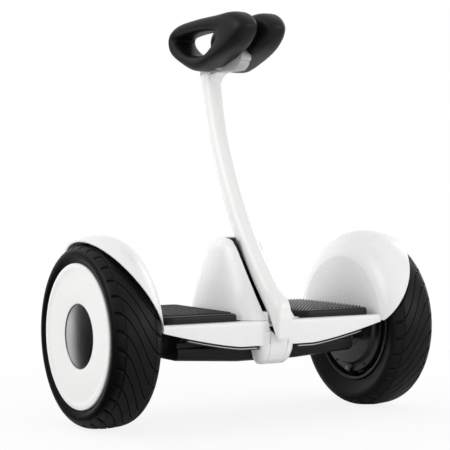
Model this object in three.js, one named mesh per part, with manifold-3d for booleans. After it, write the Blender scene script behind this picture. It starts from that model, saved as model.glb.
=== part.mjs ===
// Self balancing personal transporter: two hub motor wheels under fenders, a deck with two
// foot pads, and a bar with knee pads that leans from side to side in a slotted column.
// Millimetres. X runs along the axle, -Y is the front, +Z is up and z = 0 is the floor.

import * as THREE from 'three';
import { mergeVertices } from 'three/addons/utils/BufferGeometryUtils.js';
import Module from 'manifold-3d';

const wasm = await Module();
wasm.setup();

// Overall sizes and clearances
const overallWidth = 546;
const overallHeight = 605;
const seatGap = 0.3;
const runGap = 1.5;
const cutOverrun = 30;
const wall = 3;

// Tyre, rim and wheel trim
const tyreRadius = 133.35;
const tyreWidth = 74;
const beadRadius = 88;
const casingThickness = 7;
const grooveDepth = 2.4;
const rimLip = 2.5;
const rimFlangeRise = 4;
const motorBoreRadius = 76;
const rimWebOuter = 22;
const rimWebThickness = 6;
const rimShoulderRadius = 81;
const coverRiseShare = 0.366;
const coverRingWidth = 7;
const coverRingStep = 0.6;
const coverThickness = 3.2;
const coverDish = 4.5;
const hubCapRadius = 46.4;
const hubCapDome = 3.4;
const hubCapThickness = 2.6;
const motorCoverRadius = 78.5;
const motorCoverBoss = 65;
const motorCoverRise = 8.4;
const motorCoverThickness = 3;
const valveRadius = 3.2;
const valveLength = 20;
const valveSeatDepth = 9;

// Hub motor and axle
const airGap = 0.8;
const magnetThickness = 3.5;
const statorLength = 34;
const statorInset = 4;
const axleRadius = 9;
const axleShoulder = 2.5;
const bearingRadius = 17;
const bearingWidth = 6;

// Fenders
const fenderWall = 2.5;
const fenderFlatShare = 0.353;
const fenderClearance = 10.15;
const fenderBulge = 44;
const fenderOverhang = 58;
const fenderCutDrop = 8.5;
const fenderCutOffset = 2;
const fenderCutSlope = 0.593;

// Deck and the two crescent covers
const deckEndInset = 85.3;
const deckRise = 19.15;
const deckFront = 108;
const deckBow = 3;
const crescentDrop = 35.5;
const crescentRise = 25;
const crescentStart = 60;
const crescentPower = 1.3;
const crescentRound = 4;
const ledgeThickness = 2.2;
const plateThickness = 2.4;
const islandHalfWidth = 52;

// Chin in the middle of the front cover
const chinHalfWidth = 31;
const chinBottomDrop = 64.5;
const chinTopDrop = 14.5;
const chinProud = 4;
const chinRound = 16;
const stripHalfWidth = 14.2;
const stripThickness = 3.4;
const socketMouthRadius = 14;
const socketMouthRise = 5;

// Lower housing
const housingEndInset = 35.7;
const housingSideInset = 26;
const housingDrop = 60.5;
const housingFlat = 50;
const housingEndRise = 6.6;
const housingRound = 10;
const flareLowDrop = 28.5;
const flareHighDrop = 16.5;
const housingLedgeDrop = 36.5;
const housingLedgeStep = 4;
const housingFlareStart = 42;

// Foot pads
const padInnerGap = 3;
const padEndInset = 10.7;
const padFrontInset = 16;
const padRearInset = 10;
const padRise = 11.5;
const padCorner = 13;
const padEdge = 4;
const switchThickness = 1;
const switchInset = 18;

// Column hump
const humpHalfWidth = 50;
const humpInset = 2;
const humpRise = 118;

// Steering bar, its foot and its head
const pivotDrop = 12.5;
const leanDegrees = 3;
const barHalfWidth = 14;
const barHalfDepth = 17.5;
const barTopHalfWidth = 15.5;
const barTopHalfDepth = 19.5;
const barFootInset = 19;
const barFootRise = 35.5;
const barTopY = 86;
const barTopDrop = 86;
const footProud = 21;
const footDrop = 26;
const footFacet = 11.8;
const shaftRadius = 6.5;
const shaftFrontInset = 7;
const slotLiner = 1.2;
const slotClearance = 0.8;
const slotBackClearance = 3;

// Knee pads and the head between them
const kneeLength = 199.6;
const kneeHeight = 83.5;
const kneeHalfDepth = 22.3;
const kneeFrontHalfDepth = 20.9;
const kneeSplayDegrees = 2.4;
const kneeFrontX = 24.9;
const kneeFrontY = -45;
const kneeNose = 25;
const headHalfWidth = 9;
const headWingHalfWidth = 24;
const headWingFront = 30;
const headWingRear = 78;
const headWingTopDrop = 69;
const headFront = 22;
const headBottomDrop = 83.5;
const headTopDrop = 47;

// Lights and rear controls
const lightHeight = 3;
const lightGap = 1.2;
const lightTail = 6;
const lightEndInset = 35.7;
const buttonRadius = 9;
const buttonLength = 8;
const buttonStandOut = 1.6;
const controlSpacing = 24;
const controlDrop = 16.5;
const socketRadius = 8;
const socketLength = 16;
const capWidth = 26;
const capHeight = 22;
const capThickness = 2.4;
const capBarrel = 1.6;

// Inner parts
const bearingBlockHalfWidth = 17;
const shaftBearingRadius = 12;
const shaftBearingWidth = 8;
const frontBlockInset = 9;
const rearBlockY = 60;
const leverHalfWidth = 6;
const leverHub = 11;
const leverLength = 12;
const leverY = -30;
const leverRise = 40;
const stopRise = 32;
const stopRadius = 5;
const stopLength = 7;
const postThickness = 6;
const sensorHalfWidth = 16;
const sensorHeight = 20;
const sensorLength = 9;
const batteryEndGap = 10;
const batterySideGap = 14;
const batteryHeight = 40;
const batteryStart = 24;
const boardThickness = 1.6;
const boardPart = 11;
const boardPost = 8;
const clampHalfDepth = 32;
const clampBossHalfDepth = 22;
const clampBossLength = 7.5;
const clampDrop = 53.5;
const clampEndRise = 5.5;

// Counts of segments and repeats
const treadPitches = 24;
const rowsPerPitch = 3;
const wheelSteps = 28;
const innerSteps = 14;
const smallSteps = 12;
const fenderSteps = 40;
const fenderArcSteps = 8;
const barStations = 12;
const barPoints = 12;
const kneeStations = 24;
const kneePoints = 10;
const humpPoints = 20;
const deckStations = 16;

// Sizes that follow from the driving ones
const wheelPlane = overallWidth / 2 - tyreWidth / 2;
const axleHeight = tyreRadius;
const sectionHeight = tyreRadius - beadRadius;
const fenderRadius = tyreRadius + fenderClearance;
const fenderFlatRadius = beadRadius + fenderFlatShare * sectionHeight;
const coverRadius = beadRadius + coverRiseShare * sectionHeight;
const deckHalfLength = overallWidth / 2 - deckEndInset;
const deckHeight = axleHeight + deckRise;
const fenderCutHeight = deckHeight - fenderCutDrop;
const chinBottom = deckHeight - chinBottomDrop;
const chinTop = deckHeight - chinTopDrop;
const chinFront = deckFront + chinProud;
const housingHalfLength = deckHalfLength - housingEndInset;
const housingHalfDepth = deckFront - housingSideInset;
const housingBottom = deckHeight - housingDrop;
const housingFlareLow = deckHeight - flareLowDrop;
const housingFlareHigh = deckHeight - flareHighDrop;
const housingLedge = deckHeight - housingLedgeDrop;
const padInner = islandHalfWidth + padInnerGap;
const padOuter = deckHalfLength - padEndInset;
const padFront = deckFront - padFrontInset;
const padRear = deckFront - padRearInset;
const padTop = deckHeight + padRise;
const humpHalfDepth = deckFront - humpInset;
const humpTop = deckHeight + humpRise;
const pivotHeight = deckHeight - pivotDrop;
const barFootY = barFootInset - deckFront;
const barFootZ = deckHeight + barFootRise;
const barTopZ = overallHeight - barTopDrop;
const footFront = deckFront + footProud;
const footBottom = deckHeight - footDrop;
const shaftFront = footFront - shaftFrontInset;
const headWingTop = overallHeight - headWingTopDrop;
const headBottom = overallHeight - headBottomDrop;
const headTop = overallHeight - headTopDrop;
const lightEnd = deckHalfLength - lightEndInset;
const controlHeight = deckHeight - controlDrop;
const frontBlockY = housingHalfDepth - frontBlockInset;
const leverTop = pivotHeight + leverRise;
const stopHeight = pivotHeight + stopRise;
const batteryLength = housingHalfLength - batteryEndGap - batteryStart;
const batteryHalfDepth = housingHalfDepth - batterySideGap;
const clampBottom = deckHeight - clampDrop;
const fenderFace = deckHalfLength + seatGap;
const ledgeBottom = deckHeight - ledgeThickness;
const plateTop = ledgeBottom - seatGap;
const plateBottom = plateTop - plateThickness;
const humpBase = deckHeight + seatGap;
const lean = THREE.MathUtils.degToRad(leanDegrees);
const kneeSplay = THREE.MathUtils.degToRad(kneeSplayDegrees);
const kneeBottom = overallHeight - kneeHeight;
const rimRadius = beadRadius - seatGap;
const magnetInner = motorBoreRadius - seatGap - magnetThickness;
const statorRadius = magnetInner * Math.cos(Math.PI / innerSteps) - airGap;

// Solids for cutting and joining
function solidOf(geometry) {
  const bare = new THREE.BufferGeometry();
  bare.setAttribute('position', geometry.attributes.position.clone());
  if (geometry.index) bare.setIndex(geometry.index.clone());
  const merged = mergeVertices(bare);
  const spots = merged.attributes.position.array;
  const corner = (i) => new THREE.Vector3().fromArray(spots, 3 * i);
  let faces = [];
  let volume = 0;
  for (let i = 0; i < merged.index.count; i += 3) {
    const [a, b, c] = merged.index.array.slice(i, i + 3);
    if (a === b || b === c || c === a) continue;
    faces.push([a, b, c]);
    volume += corner(a).dot(corner(b).cross(corner(c)));
  }
  if (volume < 0) faces = faces.map(([a, b, c]) => [a, c, b]);
  return new wasm.Manifold(new wasm.Mesh({
    numProp: 3,
    vertProperties: new Float32Array(spots),
    triVerts: new Uint32Array(faces.flat()),
  }));
}

function geometryOf(solid) {
  const mesh = solid.getMesh();
  const geometry = new THREE.BufferGeometry();
  geometry.setAttribute('position', new THREE.BufferAttribute(mesh.vertProperties, 3));
  geometry.setIndex(new THREE.BufferAttribute(mesh.triVerts, 1));
  geometry.computeVertexNormals();
  return geometry;
}

const clean = (body) => geometryOf(solidOf(body));
const cut = (body, ...tools) => geometryOf(
  tools.reduce((left, tool) => left.subtract(solidOf(tool)), solidOf(body)),
);
const join = (body, ...more) => geometryOf(
  more.reduce((left, tool) => left.add(solidOf(tool)), solidOf(body)),
);
const common = (body, tool) => geometryOf(solidOf(body).intersect(solidOf(tool)));

// A box between two corners
function box(low, high) {
  const size = high.map((value, i) => value - low[i]);
  const geometry = new THREE.BoxGeometry(...size);
  return geometry.translate(...low.map((value, i) => value + size[i] / 2));
}

// A round bar along X, Y or Z between two places on its axis
function rod(axis, radius, from, to, centre = [0, 0, 0], steps = smallSteps) {
  const geometry = new THREE.CylinderGeometry(radius, radius, to - from, steps);
  if (axis === 'x') geometry.rotateZ(-Math.PI / 2);
  if (axis === 'z') geometry.rotateX(Math.PI / 2);
  const middle = [...centre];
  middle['xyz'.indexOf(axis)] += (from + to) / 2;
  return geometry.translate(...middle);
}

// A radius whose flats, in a body with this many sides, clear a round of the given radius
const clearing = (radius, count) => radius / Math.cos(Math.PI / count);

// A round hole: a bar for cutting whose flats lie on the given radius
function bore(axis, radius, from, to, centre, count = smallSteps) {
  return rod(axis, clearing(radius, count), from, to, centre, count);
}

// A body turned about X from [radius, place along X] points
function turned(profile, steps) {
  const points = profile.map(([radius, along]) => new THREE.Vector2(radius, along));
  const geometry = new THREE.LatheGeometry([...points, points[0]], steps);
  return clean(geometry.rotateZ(-Math.PI / 2));
}

// A plate with an outline in X and Z, from one Y to another
function plateAlongY(outline, from, to) {
  const shape = new THREE.Shape(outline.map(([x, z]) => new THREE.Vector2(x, z)));
  const geometry = new THREE.ExtrudeGeometry(shape, { depth: to - from, bevelEnabled: false });
  return geometry.rotateX(Math.PI / 2).translate(0, to, 0);
}

// A plate with an outline in Y and Z, from one X to another
function plateAlongX(outline, from, to) {
  const shape = new THREE.Shape(outline.map(([y, z]) => new THREE.Vector2(y, z)));
  const geometry = new THREE.ExtrudeGeometry(shape, { depth: to - from, bevelEnabled: false });
  const turn = new THREE.Matrix4().makeBasis(
    new THREE.Vector3(0, 1, 0),
    new THREE.Vector3(0, 0, 1),
    new THREE.Vector3(1, 0, 0),
  );
  return geometry.applyMatrix4(turn).translate(from, 0, 0);
}

// A skin over rings with the same number of points, closed by two caps or on itself
function loft(rings, ringClosed = false) {
  const count = rings[0].length;
  const index = [];
  const spans = ringClosed ? rings.length : rings.length - 1;
  for (let i = 0; i < spans; i++) {
    const next = (i + 1) % rings.length;
    for (let j = 0; j < count; j++) {
      const k = (j + 1) % count;
      index.push(i * count + j, i * count + k, next * count + k);
      index.push(i * count + j, next * count + k, next * count + j);
    }
  }
  if (!ringClosed) {
    index.push(...cap(rings[0], 0, false));
    index.push(...cap(rings[rings.length - 1], (rings.length - 1) * count, true));
  }
  const geometry = new THREE.BufferGeometry();
  geometry.setAttribute('position', new THREE.Float32BufferAttribute(rings.flat(2), 3));
  geometry.setIndex(index);
  return clean(geometry);
}

// Triangles over one flat ring, wound with the ring or against it
function cap(ring, offset, withRing) {
  const area = new THREE.Vector3();
  const points = ring.map((p) => new THREE.Vector3(...p));
  points.forEach((p, i) => area.add(p.clone().cross(points[(i + 1) % points.length])));
  const sizes = area.toArray().map(Math.abs);
  const drop = sizes.indexOf(Math.max(...sizes));
  const flat = points.map((p) => {
    const pair = p.toArray().filter((_, i) => i !== drop);
    return new THREE.Vector2(...pair);
  });
  const faces = THREE.ShapeUtils.triangulateShape(flat, []);
  return faces.flatMap(([a, b, c]) => {
    const edge = points[b].clone().sub(points[a]);
    const other = points[c].clone().sub(points[a]);
    const alongRing = edge.cross(other).dot(area) > 0;
    const keep = alongRing === withRing;
    return keep ? [a + offset, b + offset, c + offset] : [a + offset, c + offset, b + offset];
  });
}

// A value read off a table of [place, value] rows, straight between the rows
function along(rows, place) {
  const first = rows[0];
  const last = rows[rows.length - 1];
  if (place <= first[0]) return first[1];
  if (place >= last[0]) return last[1];
  const i = rows.findIndex((row) => row[0] >= place);
  const [a, b] = [rows[i - 1], rows[i]];
  return a[1] + (b[1] - a[1]) * (place - a[0]) / (b[0] - a[0]);
}

const steps = (count) => Array.from({ length: count + 1 }, (_, i) => i / count);
const mirrored = (outline) => outline.map(([x, ...rest]) => [-x, ...rest]);

// Materials
const finish = (color, roughness, metalness = 0) => (
  new THREE.MeshStandardMaterial({ color, roughness, metalness })
);
const whitePlastic = finish(0xf2f2f0, 0.25);
const blackRubber = finish(0x1b1b1c, 0.75);
const blackPlastic = finish(0x222223, 0.45);
const softBlack = finish(0x262626, 0.6);
const castAluminium = finish(0xa9abad, 0.4, 0.9);
const steel = finish(0x8c8f92, 0.3, 1);
const copper = finish(0xa8693c, 0.4, 0.8);
const darkGloss = finish(0x2a2a2c, 0.12);
const clearLens = finish(0xc9cdd0, 0.15);
const redLens = finish(0xa8201c, 0.2);
const greenBoard = finish(0x1f5a36, 0.5);
const wrapBlue = finish(0x2b4a78, 0.5);

const root = new THREE.Group();

function place(name, geometry, material, parent = root) {
  const mesh = new THREE.Mesh(geometry, material);
  mesh.name = name;
  parent.add(mesh);
  return mesh;
}

// Tyre: a low tubeless tyre with slanted grooves that run out over the shoulders.
// Each row of the section is [share of the half width, share of the section height].
const tyreSectionShares = [
  [0.662, 0], [0.886, 0.366], [1, 0.6], [0.93, 0.8], [0.62, 0.95], [0, 1],
];
const grooveShares = [0, 0, 0, 0.75, 1, 0];
const grooveWidthShare = 0.24;
const grooveSweepShare = 1.5;
const sidewallRows = tyreSectionShares.slice(0, 3).map(([across, up]) => [
  beadRadius + up * sectionHeight, across * tyreWidth / 2,
]);
const sidewallAt = (radius) => along(sidewallRows, radius);

function tyre(side) {
  const half = tyreSectionShares.map(([across, up], i) => [across, up, grooveShares[i]]);
  const section = [...half, ...mirrored(half).reverse().slice(1)];
  const pitch = 2 * Math.PI / treadPitches;
  const widestStep = pitch * (1 - grooveWidthShare);
  const rings = [];
  for (let i = 0; i < treadPitches; i++) {
    for (let j = 0; j < rowsPerPitch; j++) {
      const angle = i * pitch + j * pitch * grooveWidthShare / 2;
      rings.push(section.map(([across, up, groove]) => {
        const lowered = j === 1 ? groove * grooveDepth : 0;
        const seat = up === 0 ? beadRadius / Math.cos(widestStep / 2) : beadRadius;
        const radius = seat + up * sectionHeight - lowered;
        const swept = angle + side * grooveSweepShare * pitch * (1 - Math.abs(across)) ** 2;
        return [across * tyreWidth / 2, radius * Math.sin(swept), radius * Math.cos(swept)];
      }));
    }
  }
  const airHalf = tyreWidth / 2 - casingThickness;
  const airTop = tyreRadius - casingThickness - grooveDepth;
  const airFloor = beadRadius - cutOverrun;
  const throat = sidewallAt(beadRadius) - casingThickness;
  const airShoulder = beadRadius + sectionHeight / 2;
  const air = turned([
    [airFloor, -throat], [beadRadius + casingThickness, -throat], [airShoulder, -airHalf],
    [airTop, -airHalf / 2], [airTop, airHalf / 2], [airShoulder, airHalf],
    [beadRadius + casingThickness, throat], [airFloor, throat],
  ], innerSteps);
  return cut(loft(rings, true), air);
}

// Rim: a cast barrel with the outer web that carries the outer bearing.
// Its lips follow the tyre's sidewalls, and a boss takes the valve.
const flangeRadius = rimRadius + rimFlangeRise;
const lipFoot = sidewallAt(beadRadius) + seatGap;
const lipTop = sidewallAt(flangeRadius) + seatGap;
const rimEnd = lipFoot + rimLip;
const valveCircle = (motorCoverRadius + rimRadius) / 2;

function rim() {
  const webInner = rimWebOuter - rimWebThickness;
  const boreRadius = clearing(bearingRadius + seatGap, wheelSteps);
  const body = turned([
    [rimRadius, -lipFoot], [flangeRadius, -lipTop], [flangeRadius, -lipTop - rimLip],
    [rimRadius, -rimEnd], [motorBoreRadius, -rimEnd], [motorBoreRadius, webInner],
    [boreRadius, webInner], [boreRadius, rimWebOuter],
    [rimShoulderRadius, rimWebOuter], [rimRadius, rimEnd],
    [flangeRadius, lipTop + rimLip], [flangeRadius, lipTop], [rimRadius, lipFoot],
  ], wheelSteps);
  const hole = bore('x', valveRadius + seatGap, -rimEnd - cutOverrun, -rimEnd + valveSeatDepth + seatGap,
    [0, 0, -valveCircle]);
  return cut(body, hole);
}

function valveStem() {
  const seat = -rimEnd + valveSeatDepth;
  return rod('x', valveRadius, seat - valveLength, seat, [0, 0, -valveCircle]);
}

// Motor cover: the dished inner lid of the hub, bolted on the end of the barrel.
const motorCoverSeat = -rimEnd - seatGap;
const motorCoverFace = motorCoverSeat - motorCoverRise;

function motorCover() {
  const hole = clearing(bearingRadius + seatGap, innerSteps);
  const boss = motorCoverBoss;
  return turned([
    [motorBoreRadius, motorCoverSeat], [motorCoverRadius, motorCoverSeat],
    [motorCoverRadius, motorCoverSeat - motorCoverThickness],
    [boss, motorCoverFace], [hole, motorCoverFace], [hole, motorCoverFace + bearingWidth],
    [hole + motorCoverThickness * 2, motorCoverFace + bearingWidth],
    [hole + motorCoverThickness * 2, motorCoverFace + motorCoverThickness],
    [boss - motorCoverThickness, motorCoverFace + motorCoverThickness],
    [boss + motorCoverThickness, motorCoverSeat],
  ], innerSteps);
}

// Wheel cover: the white disc that hides the rim, dished a little towards the hub cap.
const coverBack = lipTop + rimLip + seatGap;
const coverEdgeBack = sidewallAt(coverRadius) + seatGap;
const coverFront = coverEdgeBack + coverThickness;

function wheelCover() {
  const hole = hubCapRadius + seatGap;
  const ring = coverRadius - coverRingWidth;
  return turned([
    [hole, coverFront - coverDish], [(hole + ring) / 2, coverFront - coverDish * 0.42],
    [ring, coverFront - coverRingStep], [ring + coverRingStep, coverFront],
    [coverRadius - coverRingStep * 2, coverFront], [coverRadius, coverFront - coverRingStep * 2],
    [coverRadius, coverEdgeBack], [flangeRadius + rimLip, coverBack], [flangeRadius - rimLip * 2, coverBack],
    [hole, coverFront - coverDish - coverThickness],
  ], wheelSteps);
}

// Hub cap: a low glossy dome in the middle of the wheel cover.
function hubCap() {
  const edge = coverFront - coverDish - coverRingStep;
  const dome = steps(3).map((t) => [
    hubCapRadius * Math.cos(t * Math.PI / 2),
    edge + hubCapDome * Math.sin(t * Math.PI / 2),
  ]);
  return turned([[0, edge - hubCapThickness], [hubCapRadius, edge - hubCapThickness], ...dome], wheelSteps);
}

function ring(outer, inner, from, to, count = innerSteps) {
  return turned([[inner, from], [outer, from], [outer, to], [inner, to]], count);
}

const wheelBearing = (from) => (
  ring(bearingRadius, axleRadius + seatGap, from, from + bearingWidth, smallSteps)
);

// Stator and axle: these stay with the chassis while the wheel turns round them.
const statorEnd = rimWebOuter - rimWebThickness - statorInset;
const statorStart = statorEnd - statorLength;
const axleOuterEnd = rimWebOuter;
const clampEnd = deckHalfLength + clampBossLength;
const axleInnerEnd = housingHalfLength + seatGap + runGap;

function axle() {
  const start = axleInnerEnd - wheelPlane;
  const shoulder = axleRadius + axleShoulder;
  return turned([
    [0, start], [axleRadius, start], [axleRadius, statorStart - axleShoulder],
    [shoulder, statorStart - axleShoulder], [shoulder, statorStart - seatGap],
    [axleRadius, statorStart - seatGap], [axleRadius, axleOuterEnd], [0, axleOuterEnd],
  ], smallSteps);
}

// Fender: a shell turned about the axle, flat against the deck and bulged over the tyre.
// It is cut level above the axle, and again by a plane that slants out over the tyre.
const fenderArc = 0.86 * Math.PI;
const fenderCrease = 0.07 * Math.PI;

function fender() {
  const skin = (offset) => {
    const rise = fenderRadius - fenderFlatRadius - offset;
    const inward = fenderBulge - offset;
    const outward = fenderOverhang - offset;
    const face = fenderFace + offset;
    const middle = fenderFace + fenderBulge;
    const low = Math.sin(fenderCrease);
    const arc = steps(fenderArcSteps).map((t) => {
      const angle = fenderCrease + t * (fenderArc - fenderCrease);
      const inner = angle < Math.PI / 2;
      const climb = inner ? (Math.sin(angle) - low) / (1 - low) : Math.sin(angle);
      const reach = inner ? inward / Math.cos(fenderCrease) : outward;
      return [fenderFlatRadius + rise * climb, middle - reach * Math.cos(angle)];
    });
    return [[0, face], ...arc];
  };
  const shell = turned([...skin(0), ...skin(fenderWall).reverse()], fenderSteps);
  shell.translate(0, 0, axleHeight);
  const reach = fenderRadius + cutOverrun;
  const highTop = axleHeight + reach;
  const start = fenderFace + fenderCutOffset;
  const end = start + fenderCutSlope * (highTop - fenderCutHeight);
  const kept = plateAlongY([
    [fenderFace - cutOverrun, fenderCutHeight], [start, fenderCutHeight],
    [end, highTop], [fenderFace - cutOverrun, highTop],
  ], -reach, reach);
  return common(shell, kept);
}

// Crescent covers: the white front and rear of the deck, deepest in the middle.
// Each is a thin wall with a ledge on top, bowed a little in plan.
const crescentBottom = deckHeight - crescentDrop;

function edgeHeight(x) {
  const share = Math.max(0, (Math.abs(x) - crescentStart) / (deckHalfLength - crescentStart));
  return crescentBottom + crescentRise * share ** crescentPower;
}

const faceDepth = (x) => deckFront - deckBow * (x / deckHalfLength) ** 2;

function crescent(side, ledgeEnd) {
  const end = deckHalfLength;
  const rings = steps(deckStations).map((t) => {
    const x = (2 * t - 1) * end;
    const face = faceDepth(x);
    const bottom = edgeHeight(x);
    const outline = [
      [face, bottom], [face, deckHeight - crescentRound],
      [face - crescentRound * 0.3, deckHeight - crescentRound * 0.3],
      [face - crescentRound, deckHeight], [ledgeEnd, deckHeight],
      [ledgeEnd, ledgeBottom], [face - wall, ledgeBottom], [face - wall, bottom],
    ];
    return outline.map(([y, z]) => [x, side * y, z]);
  });
  return loft(rings);
}

// Chin: the white swelling in the middle of the front cover, hollow from behind.
// Rows are [share of the height, share of the half width, share of the front depth].
const chinTopShare = 0.9;
const chinCornerShare = 0.55;
const chinShares = [
  [0, 0.67, 0.82], [0.08, 0.79, 0.875], [0.16, 0.87, 0.915], [0.33, 0.95, 0.96], [0.5, 1, 0.982],
  [0.66, 0.985, 0.995], [0.82, 0.95, 1], [0.94, 0.92, 0.995], [1, chinTopShare, 0.975],
];
const chinBack = housingHalfDepth + seatGap;

function chinBody(inset, back) {
  const bottom = chinBottom + inset;
  const height = chinTop - inset - bottom;
  const rings = chinShares.map(([up, across, depth]) => {
    const half = chinHalfWidth * across - inset;
    const face = chinFront * depth - inset;
    const beside = chinHalfWidth * across - stripHalfWidth - seatGap * 2;
    const round = Math.min(chinRound, beside, (chinFront * depth - chinBack) * chinCornerShare);
    const right = [
      [half, back], [half, face - round], [half - round * 0.3, face - round * 0.3],
      [half - round, face],
    ];
    const outline = [...right, ...mirrored(right).reverse()];
    return outline.map(([x, y]) => [x, -y, bottom + up * height]);
  });
  return loft(rings);
}

const mouthHeight = pivotHeight + socketMouthRise;
const mouth = (radius) => bore(
  'y', radius, -chinFront - cutOverrun, -chinBack + cutOverrun, [0, 0, mouthHeight], innerSteps,
);

function stripBlock(half, inset) {
  const height = chinTop - chinBottom;
  const rows = chinShares.map(([up, , depth]) => [chinBottom + up * height, chinFront * depth]);
  const ends = [[chinBottom - inset, rows[0][1]], [chinTop + inset, rows[rows.length - 1][1]]];
  const all = inset > 0 ? [ends[0], ...rows, ends[1]] : rows;
  return loft(all.map(([z, face]) => {
    const front = face + inset;
    const back = face - stripThickness - inset;
    return [[-half, -front, z], [half, -front, z], [half, -back, z], [-half, -back, z]];
  }));
}

function frontCover() {
  const ledgeEnd = padFront + seatGap * 2;
  const whole = join(crescent(-1, ledgeEnd), chinBody(0, chinBack));
  const hollow = chinBody(wall + stripThickness, chinBack - cutOverrun);
  const hollowHalf = chinHalfWidth * chinTopShare - wall;
  const upper = box(
    [-hollowHalf, -deckFront + wall, (chinBottom + chinTop) / 2],
    [hollowHalf, -chinBack + cutOverrun, ledgeBottom - seatGap],
  );
  const recess = stripBlock(stripHalfWidth + seatGap, seatGap);
  return cut(whole, hollow, upper, recess, mouth(socketMouthRadius), slotSpace(0));
}

const noseStrip = () => cut(stripBlock(stripHalfWidth, 0), mouth(socketMouthRadius + seatGap));

function rearCover() {
  const ledgeEnd = padRear + seatGap * 2;
  const hole = (radius, x) => bore(
    'y', radius, deckFront - cutOverrun, deckFront + cutOverrun, [x, 0, controlHeight], innerSteps,
  );
  return cut(
    crescent(1, ledgeEnd),
    hole(buttonRadius + runGap / 2, -controlSpacing),
    hole(socketRadius + seatGap, controlSpacing),
  );
}

// Light strips: a lens under each half of a crescent cover, hooked up behind its wall.
function light(side, hand) {
  const start = chinHalfWidth + seatGap;
  const rings = steps(8).map((t) => {
    const x = start + (lightEnd - start) * t;
    const face = faceDepth(x);
    const edge = edgeHeight(x);
    const back = face - wall - seatGap;
    const outline = [
      [face - seatGap * 2, edge - lightGap], [face - seatGap * 2, edge - lightGap - lightHeight],
      [back - wall, edge - lightGap - lightHeight], [back - wall, edge + lightTail],
      [back, edge + lightTail], [back, edge - lightGap],
    ];
    return outline.map(([y, z]) => [hand * x, side * y, z]);
  });
  return loft(rings);
}

// Column hump: a slotted dome over the steering shaft, whose front slopes back with the bar.
// Rows are [share of the height, share of the half width, share of the half depth behind and
// in front, how full the corners are in front].
const humpRearFullness = 2.4;
const humpShares = [
  [0, 1, 1, 0.969, 4.5], [0.12, 0.975, 0.975, 0.879, 3.5], [0.27, 0.91, 0.93, 0.771, 2.6],
  [0.44, 0.845, 0.865, 0.674, 2.1], [0.6, 0.785, 0.77, 0.562, 2], [0.76, 0.735, 0.68, 0.442, 2],
  [0.86, 0.7, 0.61, 0.36, 2], [0.92, 0.65, 0.53, 0.297, 2], [0.965, 0.57, 0.44, 0.255, 2],
  [1, 0.4, 0.27, 0.17, 2],
];

function hump(inset, base) {
  const height = humpTop - inset - base;
  const rings = humpShares.map(([up, across, behind, ahead, fullness]) => {
    const half = humpHalfWidth * across - inset;
    return Array.from({ length: humpPoints }, (_, i) => {
      const angle = 2 * Math.PI * i / humpPoints;
      const inFront = i > humpPoints / 2;
      const reach = humpHalfDepth * (inFront ? ahead : behind) - inset;
      const power = inFront ? fullness : humpRearFullness;
      const bend = (value) => Math.sign(value) * Math.abs(value) ** (2 / power);
      return [half * bend(Math.cos(angle)), reach * bend(Math.sin(angle)), base + up * height];
    });
  });
  return loft(rings);
}

// Steering bar: an oval tube on a smooth route in the middle plane.
// Rows are [share of the reach from foot to top, share of the rise from foot to top].
const barRouteShares = [[0, 0], [0.262, 0.155], [0.485, 0.317], [0.718, 0.54], [0.892, 0.764], [1, 1]];
const barRoute = new THREE.CatmullRomCurve3(barRouteShares.map(([reach, rise]) => new THREE.Vector3(
  0,
  barFootY + reach * (barTopY - barFootY),
  barFootZ + rise * (barTopZ - barFootZ),
)));
const flareShares = [[0, 0], [0.7, 0], [0.86, 0.55], [1, 1]];

function barRing(share, gap = 0) {
  const centre = barRoute.getPointAt(share);
  const tangent = barRoute.getTangentAt(share);
  const flare = along(flareShares, share);
  const half = barHalfWidth + flare * (barTopHalfWidth - barHalfWidth);
  const depth = barHalfDepth + flare * (barTopHalfDepth - barHalfDepth);
  centre.addScaledVector(tangent, gap);
  return Array.from({ length: barPoints }, (_, i) => {
    const angle = 2 * Math.PI * i / barPoints;
    const off = depth * Math.cos(angle);
    return [half * Math.sin(angle), centre.y - tangent.z * off, centre.z + tangent.y * off];
  });
}

const steeringBar = () => loft(steps(barStations).map((t) => barRing(t, t === 0 ? seatGap : 0)));

// Bar foot: the oval runs on down and is cut off flat in front, like a heel.
// Front and rear are shares of the way forward from the bar's end to the flat, and of the
// height from the foot's lowest point to the bar's end; half and flat are shares of widths.
const footShares = [
  { front: [0.875, 0.902], rear: [-0.075, 0.629], half: 1.02, flat: 0.34 },
  { front: [0.975, 0.592], rear: [0.225, 0.462], half: 1.02, flat: 0.68 },
  { front: [1, 0.317], rear: [0.475, 0.285], half: 1.01, flat: 0.87 },
  { front: [1, 0.07], rear: [0.725, 0.11], half: 0.98, flat: 1 },
  { front: [0.97, 0], rear: [0.8, 0.01], half: 0.84, flat: 0.88 },
];
const footSpot = ([forward, up]) => ({
  y: barFootY + forward * (-footFront - barFootY),
  z: footBottom + up * (barFootZ - footBottom),
});

function footRing({ front, rear, half, flat }) {
  const [toe, heel] = [footSpot(front), footSpot(rear)];
  const quarter = barPoints / 4;
  return Array.from({ length: barPoints }, (_, i) => {
    const hand = i <= 2 * quarter ? 1 : -1;
    const k = Math.min(i, barPoints - i);
    const flatHalf = flat * footFacet;
    const wide = half * barHalfWidth;
    let across = wide * Math.sin(Math.PI / 2 * k / quarter);
    let forward = Math.cos(Math.PI / 2 * k / quarter);
    if (k > 0 && k <= quarter) {
      const turn = Math.PI / 2 * (k - 1) / (quarter - 1);
      across = flatHalf + (wide - flatHalf) * Math.sin(turn);
      forward = Math.cos(turn);
    }
    const share = (1 + forward) / 2;
    return [hand * across, heel.y + share * (toe.y - heel.y), heel.z + share * (toe.z - heel.z)];
  });
}

function barFoot() {
  const body = loft([barRing(0), ...footShares.map(footRing)]);
  const from = -shaftFront - seatGap;
  return cut(body, bore('y', shaftRadius + seatGap, from, cutOverrun - deckFront, [0, 0, pivotHeight]));
}

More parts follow.
